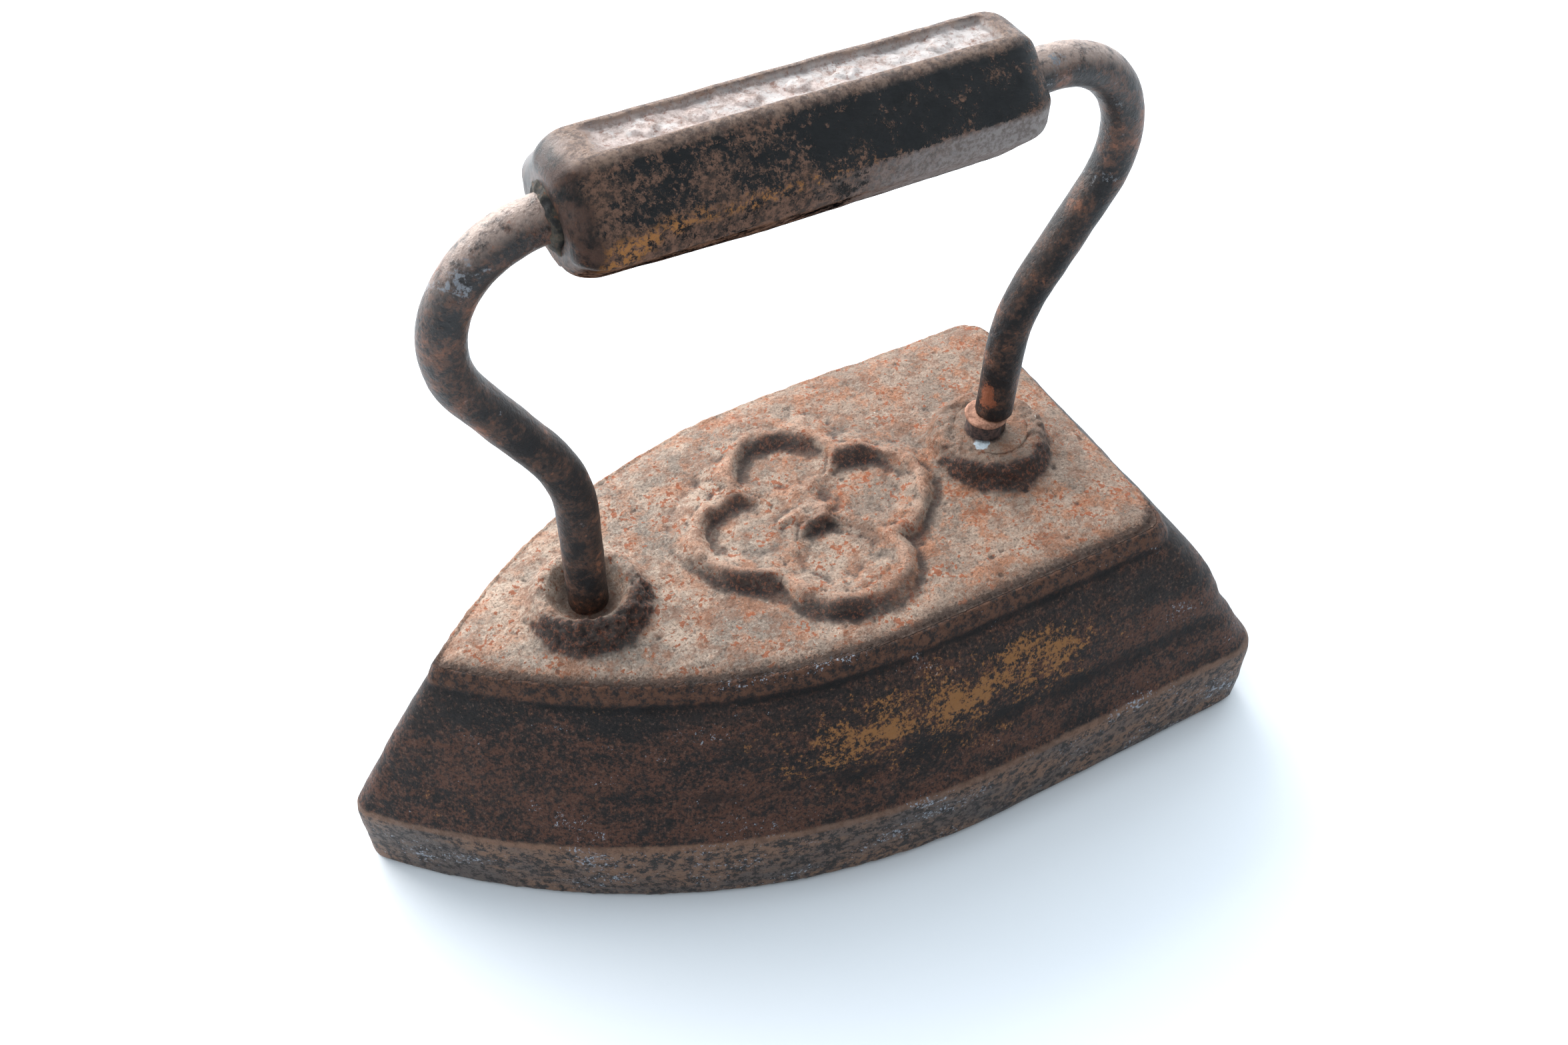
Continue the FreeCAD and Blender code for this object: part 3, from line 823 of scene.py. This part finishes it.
def build_collar():
    """A narrow sleeve with a thin worn disc on top, both set a little forward of the rod."""
    centre = (COLLAR_LOW[0] + COLLAR_HIGH[0]) / 2
    radius = (COLLAR_HIGH[0] - COLLAR_LOW[0]) / 2
    height = COLLAR_HIGH[2] - COLLAR_LOW[2]
    corners = [
        (TENON_RADIUS - 1.0, 0),
        (radius - 0.6, 0),
        (radius - 0.8, height - 1.1),
        (radius - 0.2, height - 0.8),
        (radius - 0.1, height - 0.4),
        (radius - 0.5, height),
        (TENON_RADIUS - 1.0, height),
    ]
    piece = crusty_ring("rod_collar", along_profile(corners, 0.3), 0.12, 91.0)
    move_points(piece, (centre + 0.4, -0.3, COLLAR_LOW[2]))
    return piece


# Materials


def srgb(red, green, blue):
    """A linear colour from the 0 to 255 values that a screen shows."""
    def linear(value):
        value /= 255
        return value / 12.92 if value <= 0.04045 else ((value + 0.055) / 1.055) ** 2.4

    return (linear(red), linear(green), linear(blue), 1.0)


class Finish:
    """A material whose nodes work in millimetres of object space."""

    def __init__(self, name):
        self.material = bpy.data.materials.new(name)
        self.material.use_nodes = True
        self.tree = self.material.node_tree
        self.shader = self.tree.nodes["Principled BSDF"]
        place = self.add("ShaderNodeTexCoord", {}).outputs["Object"]
        self.place = self.stretch(place, (1 / MM, 1 / MM, 1 / MM))

    def add(self, kind, inputs, **settings):
        """A node with its settings and with its inputs by name or by number."""
        node = self.tree.nodes.new(kind)
        for name, value in settings.items():
            setattr(node, name, value)
        for key, value in inputs.items():
            self.feed(node.inputs[key], value)
        return node

    def feed(self, socket, value):
        """Link another node's output, or set a number, a vector or a colour of 0 to 255."""
        if isinstance(value, bpy.types.NodeSocket):
            self.tree.links.new(value, socket)
        else:
            socket.default_value = srgb(*value) if isinstance(value, tuple) else value

    def stretch(self, vector, scale):
        inputs = {0: vector, 1: Vector(scale)}
        return self.add("ShaderNodeVectorMath", inputs, operation="MULTIPLY").outputs[0]

    def noise(self, size, detail=4.0, rough=0.6, vector=None):
        """Noise of 0 to 1 with lumps of about size millimetres."""
        place = vector or self.place
        inputs = {"Vector": place, "Scale": 1 / size, "Detail": detail, "Roughness": rough}
        return self.add("ShaderNodeTexNoise", inputs).outputs["Fac"]

    def step(self, value, low, high):
        """0 below low, 1 above high, smooth between; a falling step has low above high."""
        inputs = {
            "Value": value,
            "From Min": min(low, high),
            "From Max": max(low, high),
            "To Min": float(low > high),
            "To Max": float(high > low),
        }
        node = self.add("ShaderNodeMapRange", inputs, interpolation_type="SMOOTHSTEP")
        return node.outputs["Result"]

    def near(self, value, middle, far, close):
        """1 where the value is within close of the middle, 0 where it is beyond far from it."""
        return self.step(self.math("ABSOLUTE", self.plus(value, -middle)), far, close)

    def math(self, operation, first, second=0.0):
        return self.add("ShaderNodeMath", {0: first, 1: second}, operation=operation).outputs[0]

    def plus(self, first, second):
        return self.math("ADD", first, second)

    def times(self, first, second):
        return self.math("MULTIPLY", first, second)

    def ragged(self, value, amount, *lumps):
        """The value plus an amount of noise, whose lumps are as for noise."""
        return self.plus(value, self.times(self.noise(*lumps), amount))

    def mix(self, amount, first, second, share=1.0):
        """The first colour, giving way to the second by a share of the amount."""
        if share != 1.0:
            amount = self.times(amount, share)
        inputs = {"Factor": amount, 6: first, 7: second}
        return self.add("ShaderNodeMix", inputs, data_type="RGBA").outputs[2]

    def mottled(self, first, second, low, high, *lumps):
        """The first colour, with the second in patches where noise steps up from low to high."""
        return self.mix(self.step(self.noise(*lumps), low, high), first, second)

    def blend(self, amount, first, second):
        inputs = {"Factor": amount, 2: first, 3: second}
        return self.add("ShaderNodeMix", inputs, data_type="FLOAT").outputs[0]

    def attribute(self, name):
        return self.add("ShaderNodeAttribute", {}, attribute_name=name).outputs["Fac"]

    def distance(self, x, y, z=0.0, tall=0.0):
        """Distance from a point, with heights counted tall times: 0 is from an upright line."""
        place = self.stretch(self.place, (1, 1, tall))
        inputs = {0: place, 1: Vector((x, y, tall * z))}
        return self.add("ShaderNodeVectorMath", inputs, operation="DISTANCE").outputs["Value"]

    def axes(self):
        return self.add("ShaderNodeSeparateXYZ", {0: self.place}).outputs

    def bump(self, height, distance, under=None):
        node = self.add("ShaderNodeBump", {"Height": height, "Distance": distance * MM})
        if under is not None:
            self.feed(node.inputs["Normal"], under)
        return node.outputs["Normal"]

    def finish(self, colour, roughness, normal, specular=0.5):
        self.feed(self.shader.inputs["Base Color"], colour)
        self.feed(self.shader.inputs["Roughness"], roughness)
        self.feed(self.shader.inputs["Normal"], normal)
        self.feed(self.shader.inputs["Specular IOR Level"], specular)
        return self.material


def top_dust(f, sand, rearward):
    """Sandy grey-tan dust, warmer to the rear, with paler ridges and orange crystals."""
    dust = f.mottled((152, 137, 124), (206, 180, 160), 0.40, 0.60, 9, 8, 0.7)
    dust = f.mix(rearward, dust, (148, 122, 104), 0.5)
    warm = f.times(f.step(f.noise(5, 8, 0.8), 0.47, 0.60), f.blend(rearward, 0.6, 0.85))
    dust = f.mix(warm, dust, (178, 118, 84))
    ridges = f.step(f.attribute("hollow"), 0.04, 0.4)
    dust = f.mix(ridges, dust, (200, 154, 128), 0.55)
    dust = f.mix(f.step(sand, 0.48, 0.36), dust, (92, 76, 68), 0.6)
    pale_grain = f.times(f.step(sand, 0.55, 0.66), f.blend(rearward, 0.40, 0.25))
    dust = f.mix(pale_grain, dust, (228, 213, 198))
    crystals = f.ragged(f.noise(0.9, 2, 0.5), 0.9, 4.5, 4, 0.6)
    dust = f.mix(f.step(crystals, 1.08, 1.14), dust, (164, 88, 52), 0.85)
    brown = f.ragged(f.noise(1.3, 7, 0.8), 0.9, 8, 6, 0.7)
    return f.mix(f.step(brown, 0.96, 1.06), dust, (134, 92, 70), 0.6)


def top_colour(f, sand, inward):
    """The top's dust with browned bosses, flakes of paint, dark pits, and painted shade with some dirt
    on the near sides of ridges and bosses.
    """
    rearward = f.step(f.axes()[0], 34.0, -30.0)
    dust = top_dust(f, sand, rearward)
    browned = f.times(f.attribute("boss"), f.blend(rearward, 0.2, 0.45))
    dust = f.mix(browned, dust, (116, 94, 80))
    chip = f.ragged(f.distance(REAR_FOOT + 4.1, 2.9), 1.8, 1.3, 3)
    dust = f.mix(f.step(chip, 2.5, 2.2), dust, (205, 215, 222))
    chalk = f.ragged(f.noise(1.1, 5, 0.7), 0.5, 11, 2)
    dust = f.mix(f.step(chalk, 1.00, 1.06), dust, (224, 218, 208))
    low_grain = f.step(f.attribute("grain"), -0.02, -0.09)
    dust = f.mix(low_grain, dust, (78, 60, 52), 0.55)
    # Browner band inside the top's edge: rust, and painted shade where the edge rolls over; it draws
    # back on the far side, where the edge is lit.
    edge = f.ragged(inward, 5.0, 2.0, 7, 0.75)
    dust = f.mix(f.step(edge, 6.0, 3.0), dust, (120, 88, 70), 0.55)
    crumbs = f.ragged(inward, 6.0, 0.9, 6, 0.8)
    dust = f.mix(f.step(crumbs, 4.8, 3.9), dust, (66, 52, 46), 0.75)
    # Darker in the hollows of the top.
    hollow_dark = f.ragged(f.attribute("hollow"), 0.2, 1.6, 6, 0.7)
    dust = f.mix(f.step(hollow_dark, 0.06, -0.22), dust, (64, 55, 52), 0.7)
    # Painted shade with some dirt: dark brown with rust specks on the near sides of ridges and bosses
    # and beside the bosses' feet.
    shade_dirt_colour = f.mottled((50, 43, 43), (136, 84, 64), 0.50, 0.60, 0.8, 6, 0.8)
    shade_and_dirt = f.ragged(f.attribute("near_side_shade"), 0.7, 1.0, 7, 0.8)
    shade_and_dirt = f.plus(shade_and_dirt, f.times(f.attribute("boss_near_shade"), 0.35))
    return f.mix(f.step(shade_and_dirt, 0.42, 0.88), dust, shade_dirt_colour, 0.86)


def flank_colour(f, x, z, level):
    """Near-black brown with soft rust mottling, an ochre patch, a rusty rim and painted shade in the
    hollows.
    """
    dark = f.mottled((30, 25, 24), (54, 41, 36), 0.36, 0.64, 12, 8, 0.65, level)
    rust = f.ragged(f.noise(1.2, 7, 0.8), 0.55, 6, 6, 0.65, level)
    upper = f.times(f.step(z, 32.0, 43.0), 0.07)
    rust = f.step(f.math("SUBTRACT", rust, upper), 0.70, 0.86)
    dark = f.mix(rust, dark, (94, 59, 44), 0.85)
    fine = f.noise(0.6, 5, 0.8)
    dark = f.mix(f.step(fine, 0.50, 0.40), dark, (14, 13, 15), 0.85)
    dark = f.mix(f.step(fine, 0.57, 0.66), dark, (116, 94, 82), 0.6)
    patch = f.times(f.times(f.near(z, 32.0, 13.0, 3.0), f.near(x, -16.0, 46.0, 12.0)), 0.26)
    ochre = f.ragged(f.noise(0.7, 6, 0.75), 0.8, 8, 6, 0.65, level)
    ochre = f.ragged(ochre, 0.7, 2.4, 6, 0.75)
    ochre = f.step(f.plus(ochre, patch), 1.47, 1.57)
    dark = f.mix(ochre, dark, (156, 106, 60), 0.9)
    # Painted shade: near black in the cove and the other hollows of the flank.
    hollow_dark = f.ragged(f.attribute("hollow"), 0.1, 3, 5)
    dark = f.mix(f.step(hollow_dark, 0.03, -0.12), dark, (18, 16, 17), 0.75)
    rim = f.ragged(z, 3.0, 2.0, 7, 0.75)
    rim = f.step(rim, CREASE_HEIGHT + 1.4, CREASE_HEIGHT + 2.6)
    rust = f.mottled((36, 30, 29), (112, 74, 54), 0.42, 0.56, 1.3, 7, 0.8)
    return f.mix(rim, dark, rust, 0.7)


def band_colour(f, z, level):
    """Brown sole band with dark pits and a rustier ledge."""
    band = f.mottled((130, 99, 80), (97, 86, 81), 0.4, 0.6, 9, 7, 0.65, level)
    band = f.mottled(band, (48, 42, 40), 0.47, 0.55, 1.6, 7, 0.8)
    return f.mix(f.near(z, 17.2, 1.1, 0.4), band, (132, 98, 78), 0.6)


def plate_colour(f):
    """Sole worn to bare grey iron, scratched lengthwise, with patches of rust."""
    scratched = f.noise(1.0, 5, 0.7, f.stretch(f.place, (0.12, 1.0, 1.0)))
    plate = f.mix(f.step(scratched, 0.42, 0.60), (92, 82, 76), (148, 138, 130))
    return f.mottled(plate, (112, 74, 52), 0.52, 0.62, 5, 7, 0.75)


def side_colour(f, x, z):
    """Flank, sole band and sole, with worn bare metal on the edge and the band painted as bluish-white
    glints.
    """
    level = f.stretch(f.place, (0.4, 0.4, 1.0))
    low = f.step(f.plus(z, f.noise(2.0, 5)), 18.6, 17.8)
    side = f.mix(low, flank_colour(f, x, z, level), band_colour(f, z, level))
    # Painted glints: bluish-white specks on worn bare spots along the top edge and on the band.
    worn = f.ragged(f.noise(0.7, 4, 0.75), 0.8, 6, 5, 0.65, level)
    at_edge = f.times(f.times(f.near(z, 47.4, 1.6, 0.6), f.near(x, 10.0, 26.0, 12.0)), 0.15)
    at_edge = f.plus(at_edge, f.times(low, 0.08))
    side = f.mix(f.step(f.plus(worn, at_edge), 1.12, 1.19), side, (160, 166, 176))
    return f.mix(f.step(z, 0.9, 0.5), side, plate_colour(f))


def body_material():
    f = Finish("aged_cast_iron")
    x, y, z = f.axes()
    sand = f.noise(0.5, 3, 0.7)
    # The top's pale colours run 3 mm over the edge at the back corner and on the far side, where this
    # is painted light on the edge facing the window.
    at_back = f.times(f.step(x, TOP_BACK + 8.0, TOP_BACK + 3.0), f.step(y, 28.5, 24.0))
    pale_overlap = f.math("MAXIMUM", f.step(y, 4.0, -10.0), at_back)
    inward = f.plus(f.attribute("inward"), f.times(pale_overlap, 3.0))
    is_top = f.step(f.ragged(inward, 2.6, 1.5, 7, 0.75), 1.0, 1.9)
    colour = f.mix(is_top, side_colour(f, x, z), top_colour(f, sand, inward))
    roughness = f.blend(is_top, f.blend(f.noise(2.0, 6), 0.34, 0.66), 0.74)
    clods = f.noise(1.8, 7, 0.75)
    normal = f.bump(f.times(sand, f.blend(is_top, 0.5, 1.0)), 0.40)
    normal = f.bump(f.times(clods, f.blend(is_top, 0.6, 1.0)), 0.85, under=normal)
    return f.finish(colour, roughness, normal, specular=f.blend(is_top, 0.22, 0.3))


def rod_material():
    f = Finish("aged_round_bar")
    z = f.axes()[2]
    base = f.mottled((24, 22, 23), (52, 42, 38), 0.4, 0.6, 5, 6)
    rust = f.ragged(f.noise(0.8, 5, 0.7), 0.8, 5, 5)
    high = f.step(z, 85.0, 122.0)
    rusty = f.times(f.step(rust, 0.86, 1.04), f.blend(high, 0.6, 0.9))
    base = f.mix(rusty, base, (94, 64, 50))
    base = f.mottled(base, (22, 21, 24), 0.46, 0.36, 1.1, 6, 0.7)
    # Upward faces are lighter: dust, and painted light from above, palest near the grip.
    dust_and_top_light = f.times(f.attribute("up"), f.step(f.noise(1.8, 6, 0.7), 0.30, 0.56))
    near_grip = f.step(z, 112.0, 131.0)
    dust_and_top_light = f.times(dust_and_top_light, f.blend(near_grip, 0.45, 0.95))
    base = f.mix(dust_and_top_light, base, f.mix(near_grip, (110, 86, 72), (178, 152, 138)))
    # Bluish-grey patches on the worn bar, painted as highlights, more of them high up.
    worn = f.ragged(f.noise(6, 4, 0.6), 0.9, 0.9, 6, 0.75)
    worn = f.plus(worn, f.times(high, 0.13))
    base = f.mix(f.step(worn, 1.18, 1.30), base, (128, 130, 135))
    orange = f.ragged(f.noise(5, 4), 0.7, 0.9, 5, 0.7)
    base = f.mix(f.step(orange, 0.97, 1.08), base, (138, 88, 64), 0.65)
    patch = f.distance(REAR_FOOT + 3.4, 1.2, COLLAR_HIGH[2] + 6.0, tall=0.55)
    patch = f.ragged(patch, 6.0, 1.5, 7, 0.8)
    base = f.mix(f.step(patch, 4.9, 4.2), base, (146, 84, 58), 0.8)
    roughness = f.blend(f.noise(2.5, 5), f.blend(high, 0.42, 0.26), 0.55)
    normal = f.bump(f.noise(0.5, 5, 0.65), 0.14)
    normal = f.bump(f.noise(1.4, 5), 0.35, under=normal)
    return f.finish(base, roughness, normal, specular=f.blend(high, 0.25, 0.5))


def ochre_streak(f, x, y, z):
    """Broken streak along the lower edge of the near sloping facet, wider at the front."""
    at_front = f.step(x, 20.0, 34.0)
    level = f.plus(z, f.times(at_front, 2.6))
    level = f.math("ABSOLUTE", f.plus(level, 0.6 - FACET_EDGE))
    level = f.math("SUBTRACT", level, f.times(at_front, 1.6))
    lip = f.step(f.ragged(level, 3.4, 3, 6, 0.7), 3.4, 1.4)
    broken = f.plus(f.times(f.step(x, -30.0, 32.0), 0.12), f.noise(0.8, 6, 0.75))
    streak = f.times(f.times(lip, f.step(y, 6.0, 9.0)), f.step(broken, 0.59, 0.66))
    return f.times(streak, f.step(x, -18.0, 6.0))


def grip_end_colour(f, rim, chips):
    """Nearly black brown of the rubbed front end, with rust and a paler top edge of worn metal and
    painted highlight.
    """
    worn = f.mottled((13, 12, 13), (84, 60, 50), 0.40, 0.62, 3.0, 7, 0.7)
    worn = f.mix(f.step(chips, 0.96, 1.06), worn, (118, 76, 54), 0.7)
    # Painted highlight, with wear, along the end's top edge.
    return f.mix(rim, worn, (178, 150, 136), 0.6)


def panel_colour(f, x):
    """Pale crust, whiter to the rear, with dark hollows and specks of rust."""
    brown = f.mottled((178, 154, 144), (226, 206, 198), 0.38, 0.60, 1.2, 7, 0.75)
    scale = f.plus(f.noise(2.2, 6, 0.7), f.times(f.step(x, 25.0, -20.0), 0.12))
    crust = f.mix(f.step(scale, 0.52, 0.64), brown, (232, 224, 220), 0.7)
    crust = f.mix(f.step(f.attribute("grain"), 0.0, -0.10), crust, (110, 90, 82), 0.45)
    return f.mix(f.step(f.noise(0.9, 5, 0.75), 0.55, 0.62), crust, (140, 84, 62), 0.6)


def grip_material():
    """Black enamel chipped to brown metal, rubbed at the front, and pale under the rear: bare metal
    with a painted reflection of the floor.
    """
    f = Finish("worn_black_enamel")
    x, y, z = f.axes()
    panel = f.attribute("panel")
    below = f.step(z, FACET_EDGE + 0.2, FACET_EDGE - 1.2)
    pale = f.times(below, f.step(f.ragged(x, 30.0, 6, 6), 22.0, -12.0))
    paint = f.mottled((3, 3, 5), (13, 11, 11), 0.4, 0.6, 5, 6)
    bare = f.mottled((62, 48, 41), (134, 98, 79), 0.42, 0.58, 1.0, 7, 0.8)
    # Pale grey under the rear: bare metal, and a painted reflection of the bright floor below.
    bare_and_floor_reflection = f.mottled((124, 112, 107), (160, 150, 146), 0.40, 0.58, 0.9, 6, 0.75)
    bare = f.mix(pale, bare, bare_and_floor_reflection)
    chips = f.ragged(f.noise(0.8, 7, 0.8), 0.8, 5, 6, 0.7)
    rubbed = f.blend(f.step(x, -12.0, 14.0), -0.06, 0.08)
    wear = f.plus(rubbed, f.times(pale, 0.42))
    wear = f.plus(wear, f.times(below, 0.03))
    worn = f.plus(f.plus(chips, wear), f.times(f.attribute("hollow"), 0.25))
    is_bare = f.step(worn, 0.93, 1.03)
    colour = f.mix(is_bare, paint, bare)
    colour = f.mix(ochre_streak(f, x, y, z), colour, (192, 128, 68), 0.9)
    bottom = f.step(z, GRIP_LOW[2] + 2.2, GRIP_LOW[2] + 0.4)
    colour = f.mix(bottom, colour, (40, 34, 33), 0.8)
    top = ROD_HEIGHT + GRIP_HALF_HEIGHT
    # Tan along the top: worn metal, and a painted highlight where the top faces the light.
    rim = f.step(f.ragged(z, 1.4, 1.6, 6, 0.7), top - 0.6, top + 0.5)
    worn_tan_highlight = f.mottled((160, 130, 112), (96, 74, 64), 0.40, 0.60, 1.2, 7, 0.75)
    colour = f.mix(rim, colour, worn_tan_highlight)
    end = f.step(f.ragged(x, 5.0, 3.0, 6, 0.7), 33.5, 36.5)
    end = f.times(end, f.step(z, ROD_HEIGHT - 6.0, ROD_HEIGHT - 2.0))
    colour = f.mix(end, colour, grip_end_colour(f, rim, chips))
    colour = f.mix(panel, colour, panel_colour(f, x))
    is_rough = f.math("MAXIMUM", is_bare, panel)
    roughness = f.blend(end, f.blend(is_rough, 0.22, 0.50), 0.30)
    normal = f.bump(f.noise(0.5, 5, 0.7), 0.14)
    normal = f.bump(worn, 0.4, under=normal)
    at_window = f.blend(f.step(y, 3.0, -3.0), 0.14, 0.65)
    gloss = f.blend(f.attribute("under"), f.blend(end, 0.22, at_window), 0.0)
    return f.finish(colour, roughness, normal, specular=gloss)


def lead_material():
    """Lead under the same dust as the top, darker in the hollow round the front of the rod."""
    f = Finish("dusty_lead")
    sand = f.noise(0.5, 3, 0.7)
    dust = top_colour(f, sand, f.attribute("inward"))
    shade = f.ragged(f.distance(FRONT_FOOT, 0), 2.0, 1.5, 6, 0.7)
    colour = f.mix(f.step(shade, 8.4, 5.2), dust, (68, 55, 48), 0.78)
    neck = f.ragged(f.distance(REAR_FOOT + 1.4, 0), 1.6, 1.2, 6, 0.7)
    colour = f.mix(f.step(neck, 5.0, 4.2), colour, (60, 50, 47), 0.75)
    normal = f.bump(sand, 0.40)
    normal = f.bump(f.noise(1.8, 7, 0.75), 0.7, under=normal)
    return f.finish(colour, f.blend(f.noise(1.5, 4), 0.7, 0.85), normal, specular=0.3)


def collar_material():
    """A rusty disc on a dark sleeve."""
    f = Finish("rusty_collar")
    z = f.axes()[2]
    disc = f.mottled((136, 92, 70), (184, 134, 110), 0.4, 0.6, 1.2, 5, 0.7)
    sleeve = f.mottled((46, 37, 36), (92, 68, 60), 0.4, 0.6, 1.0, 5, 0.7)
    low = f.ragged(z, 0.6, 1.0, 4)
    colour = f.mix(f.step(low, COLLAR_HIGH[2] - 0.7, COLLAR_HIGH[2] - 0.3), sleeve, disc)
    normal = f.bump(f.noise(0.5, 6, 0.7), 0.2)
    return f.finish(colour, f.blend(f.noise(1.5, 4), 0.6, 0.85), normal)


def crust_material(name, dark, pale, rust):
    """Matt crumbly filler in three tones."""
    f = Finish(name)
    base = f.mottled(dark, pale, 0.38, 0.62, 2.0, 7)
    base = f.mottled(base, rust, 0.56, 0.66, 1.0, 6, 0.7)
    rough = f.blend(f.noise(1.5, 4), 0.75, 0.9)
    normal = f.bump(f.noise(0.4, 6, 0.7), 0.16)
    normal = f.bump(f.noise(1.3, 5), 0.3, under=normal)
    return f.finish(base, rough, normal)


def floor_material():
    f = Finish("pale_floor")
    tone = f.mix(f.noise(90, 3), (236, 238, 241), (243, 244, 246))
    normal = f.bump(f.noise(4.0, 4), 0.05)
    return f.finish(tone, 0.7, normal, specular=0.2)


# Stage


def build_floor():
    size = FLOOR_HALF_SIZE / MM
    points = [(-size, -size, 0), (size, -size, 0), (size, size, 0), (-size, size, 0)]
    floor = make_object("floor", np.array(points), [(0, 1, 2, 3)], smooth=False)
    floor.data.materials.append(floor_material())


def aim(piece, place, target, roll=0.0):
    """Put a camera or lamp at a place so that it looks at the target."""
    back = (Vector(place) - Vector(target)).normalized()
    right = Vector((0, 0, 1)).cross(back).normalized()
    up = back.cross(right)
    turned = math.cos(roll) * right + math.sin(roll) * up
    upright = back.cross(turned)
    rotation = Matrix((turned, upright, back)).transposed().to_4x4()
    piece.matrix_world = Matrix.Translation(place) @ rotation


def build_camera():
    data = bpy.data.cameras.new("camera")
    data.lens = CAMERA_LENS
    data.clip_start = 0.01
    camera = bpy.data.objects.new("camera", data)
    bpy.context.scene.collection.objects.link(camera)
    azimuth, elevation = math.radians(CAMERA_AZIMUTH), math.radians(CAMERA_ELEVATION)
    level = math.cos(elevation)
    back = Vector((level * math.sin(azimuth), -level * math.cos(azimuth), math.sin(elevation)))
    target = Vector(CAMERA_TARGET) * MM
    aim(camera, target + CAMERA_DISTANCE * MM * back, target, math.radians(CAMERA_ROLL))
    bpy.context.scene.camera = camera


def build_window():
    data = bpy.data.lights.new("window", "AREA")
    data.shape = "RECTANGLE"
    data.size, data.size_y = WINDOW_SIZE
    data.energy = WINDOW_WATTS
    data.color = WINDOW_COLOUR
    lamp = bpy.data.objects.new("window", data)
    bpy.context.scene.collection.objects.link(lamp)
    aim(lamp, WINDOW_PLACE, WINDOW_TARGET)


def build_light():
    """Soft daylight: a bright sky on the window's side and a dim room on the camera's."""
    scene = bpy.context.scene
    scene.view_settings.view_transform = "Standard"
    world = bpy.data.worlds.new("studio")
    world.use_nodes = True
    tree = world.node_tree
    direction = tree.nodes.new("ShaderNodeTexCoord").outputs["Generated"]
    split = tree.nodes.new("ShaderNodeSeparateXYZ")
    tree.links.new(direction, split.inputs[0])
    fade = tree.nodes.new("ShaderNodeMapRange")
    fade.interpolation_type = "SMOOTHSTEP"
    ends = {"From Min": 0.7, "From Max": -0.7, "To Min": ROOM_STRENGTH, "To Max": SKY_STRENGTH}
    for name, value in ends.items():
        fade.inputs[name].default_value = value
    tree.links.new(split.outputs["Y"], fade.inputs["Value"])
    background = tree.nodes["Background"]
    background.inputs["Color"].default_value = SKY_COLOUR
    tree.links.new(fade.outputs["Result"], background.inputs["Strength"])
    scene.world = world
    build_window()


def build_all():
    lead = lead_material()
    plug = crust_material("grip_filler", (34, 31, 29), (88, 80, 68), (112, 70, 48))
    core = crust_material("baked_sand", (110, 88, 64), (160, 132, 100), (90, 62, 44))
    pieces = [
        (build_body(), "body_casting", "body_iron", body_material()),
        (build_rod(), "handle_rod", "rod_steel", rod_material()),
        (build_grip(), "grip_casting", "grip_paint", grip_material()),
        (build_core(), "grip_core", "core_sand", core),
        (build_plug("front", PLUG_LOW, PLUG_HIGH, 1), "front_grip_plug", "plug_filler", plug),
        (build_plug("rear", REAR_PLUG_LOW, REAR_PLUG_HIGH, -1), "rear_grip_plug", "plug_filler", plug),
        (
            build_lead("front", FRONT_LEAD_LOW, FRONT_LEAD_HIGH, ROD_RADIUS, 0.0),
            "front_socket_lead",
            "socket_lead",
            lead,
        ),
        (
            build_lead("rear", REAR_LEAD_LOW, REAR_LEAD_HIGH, TENON_RADIUS, 0.8),
            "rear_socket_lead",
            "socket_lead",
            lead,
        ),
        (build_collar(), "rear_rod_collar", "collar_iron", collar_material()),
    ]
    for piece, node, slot, material in pieces:
        piece.data.materials.clear()
        piece.data.materials.append(material)
        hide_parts(node)
        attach(piece, "root")


build_all()
build_floor()
build_camera()
build_light()

bpy.context.view_layer.update()
